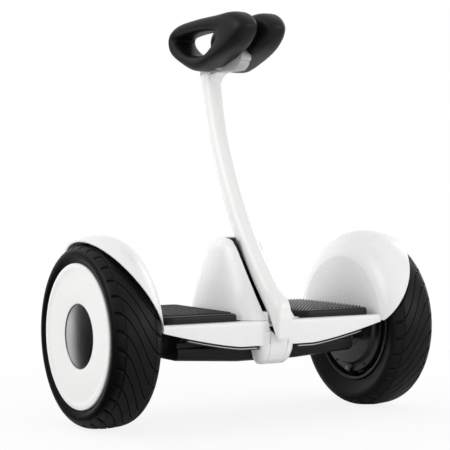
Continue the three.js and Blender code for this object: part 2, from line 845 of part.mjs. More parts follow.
// Slot: the space that the leaning bar sweeps, wider the higher it is above the pivot.
// Its back follows the rear of the bar and the foot.
const rearLine = [
  ...[...footShares].reverse().map(({ rear }) => footSpot(rear)).map(({ y, z }) => [z, y]),
  ...steps(barStations).map((t) => barRing(t)[barPoints / 2]).map(([, y, z]) => [z, y]),
];

function slotSpace(offset) {
  const top = humpTop + cutOverrun;
  const levels = steps(12).map((t) => pivotHeight + t * (top - pivotHeight));
  const front = -deckFront - cutOverrun;
  return loft(levels.map((z) => {
    const half = barHalfWidth + (z - pivotHeight) * Math.tan(lean) + slotClearance + offset;
    const back = along(rearLine, z) + slotBackClearance + offset;
    return [[-half, front, z], [half, front, z], [half, back, z], [-half, back, z]];
  }));
}

const columnShell = () => cut(hump(0, humpBase), hump(wall, humpBase), slotSpace(slotLiner + seatGap));
const columnInsert = () => common(cut(slotSpace(slotLiner), slotSpace(0)), hump(seatGap * 2, humpBase));

// Knee pads: padded loops like rounded triangles, thickest at the front.
// Rows are shares of the length from the nose and of the height, for the outer outline
// and then for the edge of the hole.
const kneeShares = [
  [0, 0.788, 0.38, 0.565], [0.13, 1.011, 0.361, 0.638], [0.35, 0.955, 0.452, 0.693],
  [0.632, 0.941, 0.629, 0.701], [0.878, 0.883, 0.805, 0.671], [1, 0.691, 0.896, 0.629],
  [0.987, 0.394, 0.866, 0.502], [0.832, 0.166, 0.747, 0.34], [0.63, 0.005, 0.604, 0.291],
  [0.388, 0.139, 0.508, 0.297], [0.155, 0.338, 0.441, 0.398], [0.021, 0.57, 0.411, 0.48],
];
const kneePower = 2.5;

function kneePad(side, extra = 0) {
  const loop = (column) => new THREE.CatmullRomCurve3(kneeShares.map((row) => new THREE.Vector3(
    row[column] * kneeLength - kneeNose,
    0,
    kneeBottom + row[column + 1] * kneeHeight,
  )), true);
  const [outer, inner] = [loop(0), loop(2)];
  const bend = (value) => Math.sign(value) * Math.abs(value) ** (2 / kneePower);
  const rings = Array.from({ length: kneeStations }, (_, i) => {
    const [far, near] = [outer.getPoint(i / kneeStations), inner.getPoint(i / kneeStations)];
    const middle = far.clone().add(near).divideScalar(2);
    const half = far.clone().sub(middle);
    half.setLength(half.length() + extra);
    const frontShare = Math.max(0, 1 - (middle.x + kneeNose) / (kneeLength / 2));
    const depth = kneeHalfDepth + (kneeFrontHalfDepth - kneeHalfDepth) * frontShare + extra;
    return Array.from({ length: kneePoints }, (_, j) => {
      const angle = 2 * Math.PI * (j + 0.5) / kneePoints;
      const back = middle.x + half.x * bend(Math.cos(angle));
      const up = middle.z + half.z * bend(Math.cos(angle));
      const out = depth * bend(Math.sin(angle));
      const x = kneeFrontX + back * Math.sin(kneeSplay) + out * Math.cos(kneeSplay);
      const y = kneeFrontY + back * Math.cos(kneeSplay) - out * Math.sin(kneeSplay);
      return [side * x, y, up];
    });
  });
  return loft(rings, true);
}

// Bar head: a casting on top of the bar that reaches forward between the knee pads.
// Rows are shares of the way from the back of the bar to the head's front, and of its height.
const headShares = [[0.03, 0.4], [0.1, 0.66], [0.34, 0.93], [0.8, 1], [0.92, 0.78], [1, 0.43], [0.86, 0]];

function barHead() {
  const end = barRing(1, seatGap);
  const [, frontY, frontZ] = end[0];
  const [, backY, backZ] = end[barPoints / 2];
  const outline = headShares.map(([reach, rise]) => [
    backY + reach * (-headFront - backY),
    headBottom + rise * (headTop - headBottom),
  ]);
  const tongue = plateAlongX([[backY, backZ], ...outline, [frontY, frontZ]], -headHalfWidth, headHalfWidth);
  const wings = box(
    [-headWingHalfWidth, headWingFront, frontZ + seatGap],
    [headWingHalfWidth, headWingRear, headWingTop],
  );
  const aboveBar = plateAlongX(
    [[frontY, frontZ], [backY, backZ], [backY, headBottom - cutOverrun], [frontY, headBottom - cutOverrun]],
    -headWingHalfWidth - cutOverrun,
    headWingHalfWidth + cutOverrun,
  );
  return cut(join(tongue, wings), aboveBar, kneePad(1, seatGap), kneePad(-1, seatGap));
}

// Steering shaft with its lever, which meets rubber stops at both ends of the lean.
const steeringShaft = () => rod('y', shaftRadius, -shaftFront, rearBlockY - seatGap, [0, 0, pivotHeight]);

function shaftLever() {
  const [from, to] = [leverY - leverLength / 2, leverY + leverLength / 2];
  const hub = rod('y', leverHub, from, to, [0, 0, pivotHeight]);
  const arm = box([-leverHalfWidth, from, pivotHeight], [leverHalfWidth, to, leverTop]);
  const hole = bore('y', shaftRadius + seatGap, from - cutOverrun, to + cutOverrun, [0, 0, pivotHeight]);
  return cut(join(hub, arm), hole);
}

const stopReach = (stopHeight + stopRadius - pivotHeight) * Math.tan(lean);
const stopStart = leverHalfWidth / Math.cos(lean) + stopReach + seatGap;
const leanStop = () => rod('x', stopRadius, stopStart, stopStart + stopLength, [0, leverY, stopHeight]);

// Chassis frame: the deck plate with its raised middle, the shaft's bearing blocks under it
// and the posts that carry the lean stops.
function chassisFrame() {
  const halfDepth = deckFront - deckBow - wall - seatGap * 2;
  const plate = box([-deckHalfLength, -halfDepth, plateBottom], [deckHalfLength, halfDepth, plateTop]);
  const island = box([-islandHalfWidth, -padFront, plateBottom], [islandHalfWidth, padRear, deckHeight]);
  const block = (from) => box(
    [-bearingBlockHalfWidth, from, pivotHeight - bearingBlockHalfWidth],
    [bearingBlockHalfWidth, from + shaftBearingWidth, plateTop],
  );
  const blockHole = (from) => bore(
    'y', shaftBearingRadius + seatGap, from - runGap, from + shaftBearingWidth + runGap,
    [0, 0, pivotHeight], innerSteps,
  );
  const post = (hand) => {
    const inner = stopStart + stopLength + seatGap;
    const ends = [hand * inner, hand * (inner + postThickness)].sort((a, b) => a - b);
    const high = [ends[1], leverY + stopRadius, stopHeight + stopRadius];
    return box([ends[0], leverY - stopRadius, plateTop], high);
  };
  const leverHole = box(
    [-leverHub - runGap, leverY - leverLength / 2 - runGap, plateBottom - cutOverrun],
    [leverHub + runGap, leverY + leverLength / 2 + runGap, deckHeight + cutOverrun],
  );
  const blocks = [-frontBlockY, rearBlockY - shaftBearingWidth];
  const body = join(plate, island, ...blocks.map(block), post(-1), post(1));
  return cut(body, ...blocks.map(blockHole), leverHole);
}

const shaftBearing = (from) => {
  const body = ring(shaftBearingRadius, shaftRadius + seatGap, 0, shaftBearingWidth, smallSteps);
  return body.rotateZ(Math.PI / 2).translate(0, from, pivotHeight);
};

const angleSensor = () => box(
  [-sensorHalfWidth, rearBlockY + seatGap, plateBottom - seatGap - sensorHeight],
  [sensorHalfWidth, rearBlockY + seatGap + sensorLength, plateBottom - seatGap],
);

// Lower housing: the black tray under the deck, with shoulders that reach out to the covers.
const floorRows = [
  [0, housingBottom], [housingFlat, housingBottom], [housingHalfLength, housingBottom + housingEndRise],
];
const housingReach = faceDepth(housingHalfLength) - 2 * wall - 2 * seatGap;
const flareRows = [[housingFlareStart, housingHalfDepth], [housingFlat, housingReach]];

function housingBody(inset, top) {
  const halfway = (housingFlat + housingHalfLength) / 2;
  const right = [housingFlareStart, housingFlat, halfway, housingHalfLength - inset];
  const places = [...right.map((x) => -x).reverse(), ...right];
  const rings = places.map((x) => {
    const floor = along(floorRows, Math.abs(x)) + inset;
    const side = housingHalfDepth - inset;
    const shoulder = along(flareRows, Math.abs(x)) - inset;
    const rear = [
      [side - housingRound, floor], [side - housingRound * 0.3, floor + housingRound * 0.3],
      [side, floor + housingRound], [side, housingLedge - inset],
      [side - housingLedgeStep, housingLedge - inset], [side - housingLedgeStep, housingFlareLow + inset],
      [shoulder, housingFlareHigh + inset], [shoulder, top],
    ];
    return [...rear, ...mirrored(rear).reverse()].map(([y, z]) => [x, y, z]);
  });
  return loft(rings);
}

function lowerHousing() {
  const top = plateBottom - seatGap;
  const notch = box(
    [-shaftRadius - runGap, -housingHalfDepth - cutOverrun, pivotHeight - shaftRadius - runGap],
    [shaftRadius + runGap, -housingHalfDepth + wall * 2, top + cutOverrun],
  );
  return cut(housingBody(0, top), housingBody(wall, top + cutOverrun), notch);
}

const trayFloor = housingBottom + housingEndRise + wall + seatGap;

const batteryPack = () => box(
  [-batteryStart - batteryLength, -batteryHalfDepth, trayFloor],
  [-batteryStart, batteryHalfDepth, trayFloor + batteryHeight],
);

// Control board: a plate on four posts with its larger parts on top.
function controlBoard() {
  const [from, to] = [batteryStart, batteryStart + batteryLength];
  const low = trayFloor + boardPost;
  const high = low + boardThickness;
  const plate = box([from, -batteryHalfDepth, low], [to, batteryHalfDepth, high]);
  const rows = [-batteryHalfDepth, batteryHalfDepth - boardPost];
  const posts = [from, to - boardPost].flatMap((x) => rows.map((y) => (
    box([x, y, trayFloor], [x + boardPost, y + boardPost, low + boardThickness / 2])
  )));
  const spots = [0.2, 0.5, 0.8].map((share) => from + share * batteryLength);
  const parts = spots.map((x) => box(
    [x - boardPart / 2, -batteryHalfDepth / 2, low + boardThickness / 2],
    [x + boardPart / 2, batteryHalfDepth / 2, high + boardPart],
  ));
  return join(plate, ...posts, ...parts);
}

// Axle clamp: the cast block between the tray and the wheel that holds the axle.
function axleClamp() {
  const inner = housingHalfLength + seatGap;
  const top = plateBottom - seatGap;
  const endTop = fenderCutHeight - seatGap;
  const endBottom = clampBottom + clampEndRise;
  const main = plateAlongY([
    [inner, clampBottom], [deckHalfLength, endBottom], [deckHalfLength, top], [inner, top],
  ], -clampHalfDepth, clampHalfDepth);
  const boss = plateAlongY([
    [deckHalfLength - wall, endBottom], [clampEnd, endBottom + wall], [clampEnd, endTop],
    [deckHalfLength - wall, endTop],
  ], -clampBossHalfDepth, clampBossHalfDepth);
  const [from, to] = [inner - cutOverrun, clampEnd + cutOverrun];
  return cut(join(main, boss), bore('x', axleRadius + seatGap, from, to, [0, 0, axleHeight]));
}

// Foot pads: thick rubber mats with a rounded top edge, hollow over the rider switches.
function roundedRing(low, high, corner, z) {
  const [x0, y0] = low;
  const [x1, y1] = high;
  const centres = [
    [x1 - corner, y1 - corner], [x0 + corner, y1 - corner],
    [x0 + corner, y0 + corner], [x1 - corner, y0 + corner],
  ];
  return centres.flatMap(([x, y], quarter) => steps(3).map((t) => {
    const angle = (quarter + t) * Math.PI / 2;
    return [x + corner * Math.cos(angle), y + corner * Math.sin(angle), z];
  }));
}

function footPad(pocketGap = seatGap) {
  const low = plateTop + seatGap;
  const layers = [
    [0, low], [0, padTop - padEdge], [padEdge * 0.3, padTop - padEdge * 0.3], [padEdge, padTop],
  ];
  const body = loft(layers.map(([inset, z]) => roundedRing(
    [padInner + inset, -padFront + inset], [padOuter - inset, padRear - inset], padCorner - inset / 2, z,
  )));
  const spare = switchInset - pocketGap;
  const pocket = box(
    [padInner + spare, -padFront + spare, low - cutOverrun],
    [padOuter - spare, padRear - spare, low + switchThickness + pocketGap],
  );
  return cut(body, pocket);
}

const padSwitch = () => box(
  [padInner + switchInset, -padFront + switchInset, plateTop + seatGap],
  [padOuter - switchInset, padRear - switchInset, plateTop + seatGap + switchThickness],
);

// Rear controls: the power button, the charging socket and its hinged rubber cap.
function powerButton() {
  const face = deckFront + buttonStandOut;
  return rod('y', buttonRadius, face - buttonLength, face, [-controlSpacing, 0, controlHeight], innerSteps);
}

function chargeSocket() {
  const centre = [controlSpacing, 0, controlHeight];
  const barrel = rod('y', socketRadius, deckFront - socketLength, deckFront - seatGap, centre, innerSteps);
  const inlet = bore('y', socketRadius - wall, deckFront - socketLength / 2, deckFront + cutOverrun, centre,
    innerSteps);
  return cut(barrel, inlet);
}

const capHingeY = deckFront + seatGap + capBarrel;
const capHingeZ = controlHeight + capHeight / 2 + capBarrel;

function chargeCap() {
  const low = [controlSpacing - capWidth / 2, deckFront + seatGap, controlHeight - capHeight / 2];
  const flap = box(low, [controlSpacing + capWidth / 2, deckFront + seatGap + capThickness, capHingeZ]);
  const barrel = rod('x', capBarrel, low[0], low[0] + capWidth, [0, capHingeY, capHingeZ]);
  return join(flap, barrel);
}

// Assembly: the chassis and everything fixed to it
place('chassis_frame', chassisFrame(), castAluminium);
place('front_cover', frontCover(), whitePlastic);
place('rear_cover', rearCover(), whitePlastic);
place('nose_strip', noseStrip(), whitePlastic);
place('column_shell', columnShell(), whitePlastic);
place('column_insert', columnInsert(), blackPlastic);
place('lower_housing', lowerHousing(), blackPlastic);
place('battery_pack', batteryPack(), wrapBlue);
place('control_board', controlBoard(), greenBoard);
place('shaft_bearing_front', shaftBearing(-frontBlockY), steel);
place('shaft_bearing_rear', shaftBearing(rearBlockY - shaftBearingWidth), steel);
place('angle_sensor', angleSensor(), blackPlastic);
place('charge_socket', chargeSocket(), blackPlastic);
place('power_button', powerButton(), blackRubber);
place('charge_cap', chargeCap(), blackRubber);

// The steering bar and what leans with it
place('steering_shaft', steeringShaft(), steel);
place('shaft_lever', shaftLever(), castAluminium);
place('bar_foot', barFoot(), whitePlastic);
place('steering_bar', steeringBar(), whitePlastic);
place('bar_head', barHead(), castAluminium);

// Pieces that come in pairs, on the left (-X) and on the right (+X)
for (const [hand, label] of [[-1, 'left'], [1, 'right']]) {
  const flip = new THREE.Group();
  flip.rotation.z = hand < 0 ? Math.PI : 0;
  root.add(flip);
  place(`fender_${label}`, fender(), whitePlastic, flip);
  place(`axle_clamp_${label}`, axleClamp(), castAluminium, flip);
  place(`lean_stop_${label}`, clean(leanStop().scale(hand, 1, 1)), blackRubber);
  place(`foot_pad_${label}`, clean(footPad().scale(hand, 1, 1)), softBlack);
  place(`pad_switch_${label}`, clean(padSwitch().scale(hand, 1, 1)), blackPlastic);
  place(`headlight_${label}`, light(-1, hand), clearLens);
  place(`tail_light_${label}`, light(1, hand), redLens);
  place(`knee_pad_${label}`, kneePad(hand), softBlack);

  const wheel = new THREE.Group();
  wheel.position.set(wheelPlane, 0, axleHeight);
  flip.add(wheel);
  place(`tyre_${label}`, tyre(hand), blackRubber, wheel);
  place(`rim_${label}`, rim(), castAluminium, wheel);
  place(`valve_stem_${label}`, valveStem(), blackRubber, wheel);
  place(`motor_cover_${label}`, motorCover(), castAluminium, wheel);
  place(`wheel_cover_${label}`, wheelCover(), whitePlastic, wheel);
  place(`hub_cap_${label}`, hubCap(), darkGloss, wheel);
  place(`magnet_ring_${label}`,
    ring(motorBoreRadius - seatGap, magnetInner, statorStart, statorEnd), steel, wheel);
  place(`stator_${label}`, ring(statorRadius, axleRadius + seatGap, statorStart, statorEnd), copper, wheel);
  place(`axle_${label}`, axle(), steel, wheel);
  place(`bearing_outer_${label}`, wheelBearing(rimWebOuter - bearingWidth), steel, wheel);
  place(`bearing_inner_${label}`, wheelBearing(motorCoverFace), steel, wheel);
}

export default root;
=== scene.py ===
# A self balancing personal transporter: two hub motor wheels, a low deck with two foot mats,
# and a white bar with padded knee loops. Lengths are in millimetres and turned to metres where a
# mesh or a camera is made, apart from the studio's at the end, which are in metres.
import math
import bpy
import bmesh
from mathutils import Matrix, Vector


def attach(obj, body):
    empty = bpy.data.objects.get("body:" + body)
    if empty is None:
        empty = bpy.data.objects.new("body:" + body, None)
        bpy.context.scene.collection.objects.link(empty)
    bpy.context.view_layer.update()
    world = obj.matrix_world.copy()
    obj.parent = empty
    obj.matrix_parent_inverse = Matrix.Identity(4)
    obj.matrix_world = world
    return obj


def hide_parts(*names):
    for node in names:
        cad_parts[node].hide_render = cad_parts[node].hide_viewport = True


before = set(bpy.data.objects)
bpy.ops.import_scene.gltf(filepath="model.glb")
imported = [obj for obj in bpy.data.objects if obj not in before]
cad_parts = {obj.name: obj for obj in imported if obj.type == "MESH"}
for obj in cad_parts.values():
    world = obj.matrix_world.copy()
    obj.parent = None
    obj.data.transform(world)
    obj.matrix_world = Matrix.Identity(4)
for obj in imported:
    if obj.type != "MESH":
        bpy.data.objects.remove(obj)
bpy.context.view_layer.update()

# Camera: a long lens nearly level with the deck, seen from the front left.
# It stands where the perspective of the two wheels puts it.
MM, PER_METRE = 0.001, 1000
CAMERA_PLACE, CAMERA_LOOK = (-1195.36, -1956.47, 349.95), (0.51309, 0.85791, -0.026817)
SENSOR_WIDTH, CAMERA_LENS, CLIP_NEAR, CLIP_FAR = 36.0, 121.44, 0.05, 50.0
camera_data = bpy.data.cameras.new("camera")
camera = bpy.data.objects.new("camera", camera_data)
bpy.context.scene.collection.objects.link(camera)
bpy.context.scene.camera = camera
camera_data.sensor_width = SENSOR_WIDTH
camera_data.lens = CAMERA_LENS
camera_data.clip_start = CLIP_NEAR
camera_data.clip_end = CLIP_FAR
camera.location = Vector(CAMERA_PLACE) * MM
camera.rotation_mode = "QUATERNION"
camera.rotation_quaternion = Vector(CAMERA_LOOK).to_track_quat("-Z", "Y")

# Chassis: a die cast aluminium plate with bearing blocks, and the cast clamps of both axles.
# The metal is left as it comes from the die, and screws hold the clamps.
CLOUDS, GRAIN = {"Detail": 4.0, "Roughness": 0.55}, {"Detail": 3.0, "Roughness": 0.6}
NOISE_LOW, NOISE_HIGH = 0.3, 0.7  # nearly all of a noise lies between these
COAT_ROUGHNESS = 0.08
WELD_REACH, FLAT_ANGLE, CREASE_ANGLE = 0.01, 0.6, 32.0


def linear(hex_colour):
    """A linear colour from an sRGB hex value."""
    channels = [int(hex_colour[i:i + 2], 16) / 255 for i in (1, 3, 5)]
    return [c / 12.92 if c <= 0.04045 else ((c + 0.055) / 1.055) ** 2.4 for c in channels] + [1.0]


def add_node(tree, kind, inputs=None, **settings):
    """A node with its settings, and with its inputs set to values or linked to sockets."""
    node = tree.nodes.new(kind)
    for name, value in settings.items():
        setattr(node, name, value)
    for socket, value in (inputs or {}).items():
        if isinstance(value, bpy.types.NodeSocket):
            tree.links.new(value, node.inputs[socket])
        else:
            node.inputs[socket].default_value = value
    return node


def finish(name, pale, dark, patch, grain, depth, rough, metallic=0.0, specular=0.5, coat=0.0):
    """A surface whose tone drifts over patches and whose skin has a grain and its depth, in mm.

    A real grain is mostly 0.1 to 0.5 mm wide and wouldn't show, so most are drawn coarser.
    """
    material = bpy.data.materials.new(name)
    material.use_nodes = True
    tree = material.node_tree
    shader = tree.nodes["Principled BSDF"]
    place = add_node(tree, "ShaderNodeTexCoord").outputs["Object"]
    drift = add_node(tree, "ShaderNodeTexNoise",
                     {"Vector": place, "Scale": PER_METRE / patch, **CLOUDS})
    tone = add_node(tree, "ShaderNodeMix", {
        "Factor": drift.outputs["Fac"], "A": linear(dark), "B": linear(pale)}, data_type="RGBA")
    tree.links.new(tone.outputs["Result"], shader.inputs["Base Color"])
    skin = add_node(tree, "ShaderNodeTexNoise",
                    {"Vector": place, "Scale": PER_METRE / grain, **GRAIN})
    spread = add_node(tree, "ShaderNodeMapRange", {
        "Value": skin.outputs["Fac"], "From Min": NOISE_LOW, "From Max": NOISE_HIGH,
        "To Min": rough[0], "To Max": rough[1]})
    tree.links.new(spread.outputs["Result"], shader.inputs["Roughness"])
    bump = add_node(tree, "ShaderNodeBump", {
        "Height": skin.outputs["Fac"], "Distance": depth * MM, "Strength": 1.0})
    tree.links.new(bump.outputs["Normal"], shader.inputs["Normal"])
    shader.inputs["Metallic"].default_value = metallic
    shader.inputs["Specular IOR Level"].default_value = specular
    shader.inputs["Coat Weight"].default_value = coat
    shader.inputs["Coat Roughness"].default_value = COAT_ROUGHNESS
    return material


def bevel_edges(made, width, segments, angle, clamp=True):
    """Small rounds on the edges where faces meet at more than an angle."""
    edge = made.modifiers.new("edges", "BEVEL")
    edge.width, edge.segments = width * MM, segments
    edge.limit_method, edge.angle_limit = "ANGLE", math.radians(angle)
    edge.use_clamp_overlap = clamp


def dress(node, material, bevel=0.4):
    """A CAD solid in its finish: welded, its flats made whole, its edges broken, then smooth."""
    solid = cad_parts[node]
    solid.data.materials.clear()
    solid.data.materials.append(material)
    solid.data.polygons.foreach_set("use_smooth", [True] * len(solid.data.polygons))
    weld = solid.modifiers.new("weld", "WELD")
    weld.merge_threshold = WELD_REACH * MM
    if bevel > 0:
        flats = solid.modifiers.new("flats", "DECIMATE")
        flats.decimate_type = "DISSOLVE"
        flats.angle_limit = math.radians(FLAT_ANGLE)
        bevel_edges(solid, bevel, segments=2, angle=CREASE_ANGLE)
    split = solid.modifiers.new("creases", "EDGE_SPLIT")
    split.split_angle = math.radians(CREASE_ANGLE)


# Cast aluminium: a satin metal, slightly uneven in tone, with a fine grain left by the die.
cast_aluminium = finish("cast_aluminium", "#B4B6B8", "#8E9093", 30.0, 0.9, 0.05, (0.38, 0.5),
                        metallic=1.0)
for name in ["chassis_frame", "axle_clamp_left", "axle_clamp_right", "shaft_lever"]:
    dress(name, cast_aluminium)

# Shaft, axles and bearings: turned and ground steel, pale and smooth, pressed into the castings.
# They fit tight, so only their ends show.
SIDES = [(-1, "left"), (1, "right")]
# Ground steel: a brighter metal than the castings, and smooth enough for a clear highlight.
ground_steel = finish("ground_steel", "#A6A9AC", "#8C8F93", 12.0, 0.5, 0.01, (0.22, 0.34),
                      metallic=1.0)
STEEL_PARTS = ["steering_shaft", "shaft_bearing_front", "shaft_bearing_rear"]
STEEL_PARTS += [f"{part}_{side}" for _, side in SIDES
                for part in ("axle", "magnet_ring", "bearing_outer", "bearing_inner")]
for name in STEEL_PARTS:
    dress(name, ground_steel, bevel=0.25)

# Windings: enamelled copper on a laminated core, wound tight and dipped in varnish.
# The core is pressed on the axle and stands still inside the turning rim.
# Varnished copper: the varnish gives the copper a warm half gloss.
wound_copper = finish("wound_copper", "#B87743", "#7E4A27", 3.0, 1.2, 0.3, (0.3, 0.45),
                      metallic=0.8)
for _, side in SIDES:
    dress(f"stator_{side}", wound_copper, bevel=0)

# Battery and control board: cells in a blue heat shrink sleeve, and a green glass fibre board.
# Both sit in the tray and are fixed before the deck goes on.
# Heat shrink film: a wrinkled half gloss. Glass fibre board: a satin lacquer over a fine weave.
shrink_sleeve = finish("shrink_sleeve", "#31558C", "#284674", 40.0, 6.0, 0.25, (0.25, 0.4))
glass_fibre_board = finish("glass_fibre_board", "#256B42", "#1C5434", 8.0, 1.0, 0.03, (0.35, 0.5))
dress("battery_pack", shrink_sleeve, bevel=2.0)
dress("control_board", glass_fibre_board, bevel=0.1)

# Lower housing: a tray moulded in black ABS, which hangs under the chassis and is screwed up
# from below. The sensor, the socket and the rider switches are moulded in the same plastic.
# Satin black ABS: a fine spark eroded grain that breaks up reflections.
satin_abs = finish("satin_black_abs", "#131313", "#0F0F0F", 60.0, 0.8, 0.02, (0.3, 0.4),
                   specular=0.22)
dress("lower_housing", satin_abs, bevel=1.0)
for name in ["angle_sensor", "charge_socket", "pad_switch_left", "pad_switch_right"]:
    dress(name, satin_abs, bevel=0.3)

# Front cover: a thin white wall, deepest in the middle, with a rounded chin round the bar's foot.
# It is moulded in gloss ABS, and clips behind it leave a thin joint to the pieces beside it.
DECK, DECK_HALF, DECK_FRONT, DECK_BOW = 152.5, 187.7, 108.0, 3.0
COVER_WALL, COVER_EDGE, LEDGE, COVER_STEPS = 3.0, 4.0, 2.2, 160
FRONT_LEDGE_END, COVER_BREAK = 92.6, 0.5
CRESCENT_LOW, CRESCENT_RISE, CRESCENT_START, CRESCENT_CURVE = 117.0, 25.0, 60.0, 1.3
CHIN_HALF, CHIN_LOW, CHIN_HIGH = 31.0, 88.0, 138.0
CHIN_FRONT, CHIN_BACK, CHIN_ROUND, CHIN_STEPS = 112.0, 82.3, 16.0, 40
# Rows up the chin: share of the height, of the half width and of the depth.
CHIN_ROWS = [(0, 0.67, 0.82), (0.08, 0.79, 0.875), (0.16, 0.87, 0.915), (0.33, 0.95, 0.96),
             (0.5, 1, 0.982), (0.66, 0.985, 0.995), (0.82, 0.95, 1), (0.94, 0.92, 0.995),
             (1, 0.9, 0.975)]
STRIP_HALF, STRIP_DEEP, STRIP_GAP = 14.2, 3.4, 0.35
MOUTH_RADIUS, MOUTH_HEIGHT, MOUTH_FRONT, MOUTH_BACK = 14.0, 145.0, -142, -52
SHAFT_BAY = (-24.9, -105.0, 113.0), (24.9, -52.0, 150.0)
# The bar's half width, its pivot's height, and how far it leans for each millimetre above that.
BAR_HALF, PIVOT, LEAN_SLOPE = 14.0, 140.0, math.tan(math.radians(3.0))
NOTCH_GAP, NOTCH_LOW, NOTCH_HIGH, NOTCH_BACK, CUT_FRONT = 0.7, 141.0, 160.0, -70.0, -140.0
CORNER_SPARE, CORNER_SHARE, CHIN_OPEN, EDGE_ARC, CORNER_ARC = 0.6, 0.55, 30, 6, 8
SAME_POINT, CARVED_WELD, CARVED_ANGLE, COVER_CREASE, ROUND_STEPS = 0.0001, 0.02, 40.0, 40, 48


def piece(name, points, faces, material, slot, body, crease=35.0):
    """A mesh piece from points in mm, smooth between creases, riding on a CAD body."""
    mesh = bpy.data.meshes.new(name)
    mesh.from_pydata([Vector(p) * MM for p in points], [], faces)
    shaped = bmesh.new()
    shaped.from_mesh(mesh)
    bmesh.ops.remove_doubles(shaped, verts=shaped.verts, dist=SAME_POINT * MM)
    bmesh.ops.recalc_face_normals(shaped, faces=shaped.faces)
    shaped.to_mesh(mesh)
    shaped.free()
    made = bpy.data.objects.new(name, mesh)
    bpy.context.scene.collection.objects.link(made)
    if material:
        mesh.materials.append(material)
    smooth(made, crease)
    if body:
        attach(made, body)
    return made


def smooth(made, crease):
    """Smooth shading, with an edge kept sharp where its faces meet at more than the crease."""
    made.data.polygons.foreach_set("use_smooth", [True] * len(made.data.polygons))
    made.data.set_sharp_from_angle(angle=math.radians(crease))


def skin(rings, closed=False, start=0):
    """Faces over rings with the same number of points, closed by two end faces or on itself."""
    count = len(rings[0])
    points = [p for ring in rings for p in ring]
    spans = len(rings) if closed else len(rings) - 1
    faces = []
    for i in range(spans):
        below, above = start + i * count, start + (i + 1) % len(rings) * count
        faces += [(below + j, below + (j + 1) % count, above + (j + 1) % count, above + j)
                  for j in range(count)]
    if not closed:
        faces.append(tuple(start + j for j in reversed(range(count))))
        faces.append(tuple(start + (len(rings) - 1) * count + j for j in range(count)))
    return points, faces


def between(rows, t):
    """The point at t between the middle two of four rows, on a smooth cubic curve."""
    return [0.5 * (2 * q + (r - p) * t + (2 * p - 5 * q + 4 * r - s) * t * t
                   + (3 * q - p - 3 * r + s) * t ** 3) for p, q, r, s in zip(*rows)]


def smooth_through(rows, count):
    """Points on a smooth curve through rows of numbers, the ends held."""
    out = []
    padded = [rows[0], *rows, rows[-1]]
    for i in range(count + 1):
        place = i / count * (len(rows) - 1)
        k = min(int(place), len(rows) - 2)
        out.append(between(padded[k:k + 4], place - k))
    return out


def carve(body, shape, operation="DIFFERENCE"):
    """A piece with another form cut away from it, joined to it, or kept in common with it."""
    tool = piece("tool", *shape, None, None, None)
    change = body.modifiers.new("carve", "BOOLEAN")
    change.operation, change.solver, change.object = operation, "EXACT", tool
    graph = bpy.context.evaluated_depsgraph_get()
    shaped = bpy.data.meshes.new_from_object(body.evaluated_get(graph))
    body.modifiers.clear()
    body.data = shaped
    bpy.data.objects.remove(tool)


def break_edges(made, width, segments=3):
    """Small rounds on the edges of a carved piece, after its doubled points are welded."""
    weld = made.modifiers.new("weld", "WELD")
    weld.merge_threshold = CARVED_WELD * MM
    bevel_edges(made, width, segments, CARVED_ANGLE, clamp=False)


def block(low, high):
    """A plain block between two corners, for cutting."""
    (x0, y0, z0), (x1, y1, z1) = low, high
    return skin([[(x0, y0, z), (x1, y0, z), (x1, y1, z), (x0, y1, z)] for z in (z0, z1)])


def face_depth(x):
    """How far a cover's face stands from the axle, a little less toward its ends."""
    return DECK_FRONT - DECK_BOW * (x / DECK_HALF) ** 2


def edge_height(x):
    """The height of a cover's lower edge, which rises toward its ends."""
    share = max(0.0, (abs(x) - CRESCENT_START) / (DECK_HALF - CRESCENT_START))
    return CRESCENT_LOW + CRESCENT_RISE * share ** CRESCENT_CURVE


def crescent(side, ledge_end):
    """A cover's wall and top ledge, at the front for side -1 and at the back for 1."""
    rings = []
    for i in range(COVER_STEPS + 1):
        x = (2 * i / COVER_STEPS - 1) * DECK_HALF
        face = face_depth(x)
        outline = [(face, edge_height(x))]
        for k in range(EDGE_ARC + 1):
            angle = k / EDGE_ARC * math.pi / 2
            outline.append((face - COVER_EDGE * (1 - math.cos(angle)),
                            DECK - COVER_EDGE * (1 - math.sin(angle))))
        outline += [(ledge_end, DECK), (ledge_end, DECK - LEDGE), (face - COVER_WALL, DECK - LEDGE),
                    (face - COVER_WALL, edge_height(x))]
        rings.append([(x, side * y, z) for y, z in outline])
    return skin(rings)


def chin_form(inset, back):
    """The chin's outside, or a smaller form inside it, back to a plane."""
    rings = []
    for up, across, depth in smooth_through(CHIN_ROWS, CHIN_STEPS):
        half, face = CHIN_HALF * across - inset, CHIN_FRONT * depth - inset
        room = CHIN_HALF * across - STRIP_HALF - CORNER_SPARE
        corner = min(CHIN_ROUND, room, (CHIN_FRONT * depth - CHIN_BACK) * CORNER_SHARE)
        right = [(half, back)]
        for k in range(CORNER_ARC + 1):
            angle = k / CORNER_ARC * math.pi / 2
            right.append((half - corner * (1 - math.cos(angle)),
                          face - corner * (1 - math.sin(angle))))
        outline = right + [(-x, y) for x, y in reversed(right)]
        z = CHIN_LOW + inset + up * (CHIN_HIGH - CHIN_LOW - 2 * inset)
        rings.append([(x, -y, z) for x, y in outline])
    return skin(rings)


def strip_form(half, gap):
    """The nose band, or with a gap the groove that it lies in."""
    rows = [(CHIN_LOW + up * (CHIN_HIGH - CHIN_LOW), CHIN_FRONT * depth)
            for up, _, depth in smooth_through(CHIN_ROWS, CHIN_STEPS)]
    if gap:
        rows = [(CHIN_LOW - gap, rows[0][1]), *rows, (CHIN_HIGH + gap, rows[-1][1])]
    rings = []
    for z, face in rows:
        front, back = face + gap, face - STRIP_DEEP - gap
        rings.append([(-half, -front, z), (half, -front, z), (half, -back, z), (-half, -back, z)])
    return skin(rings)


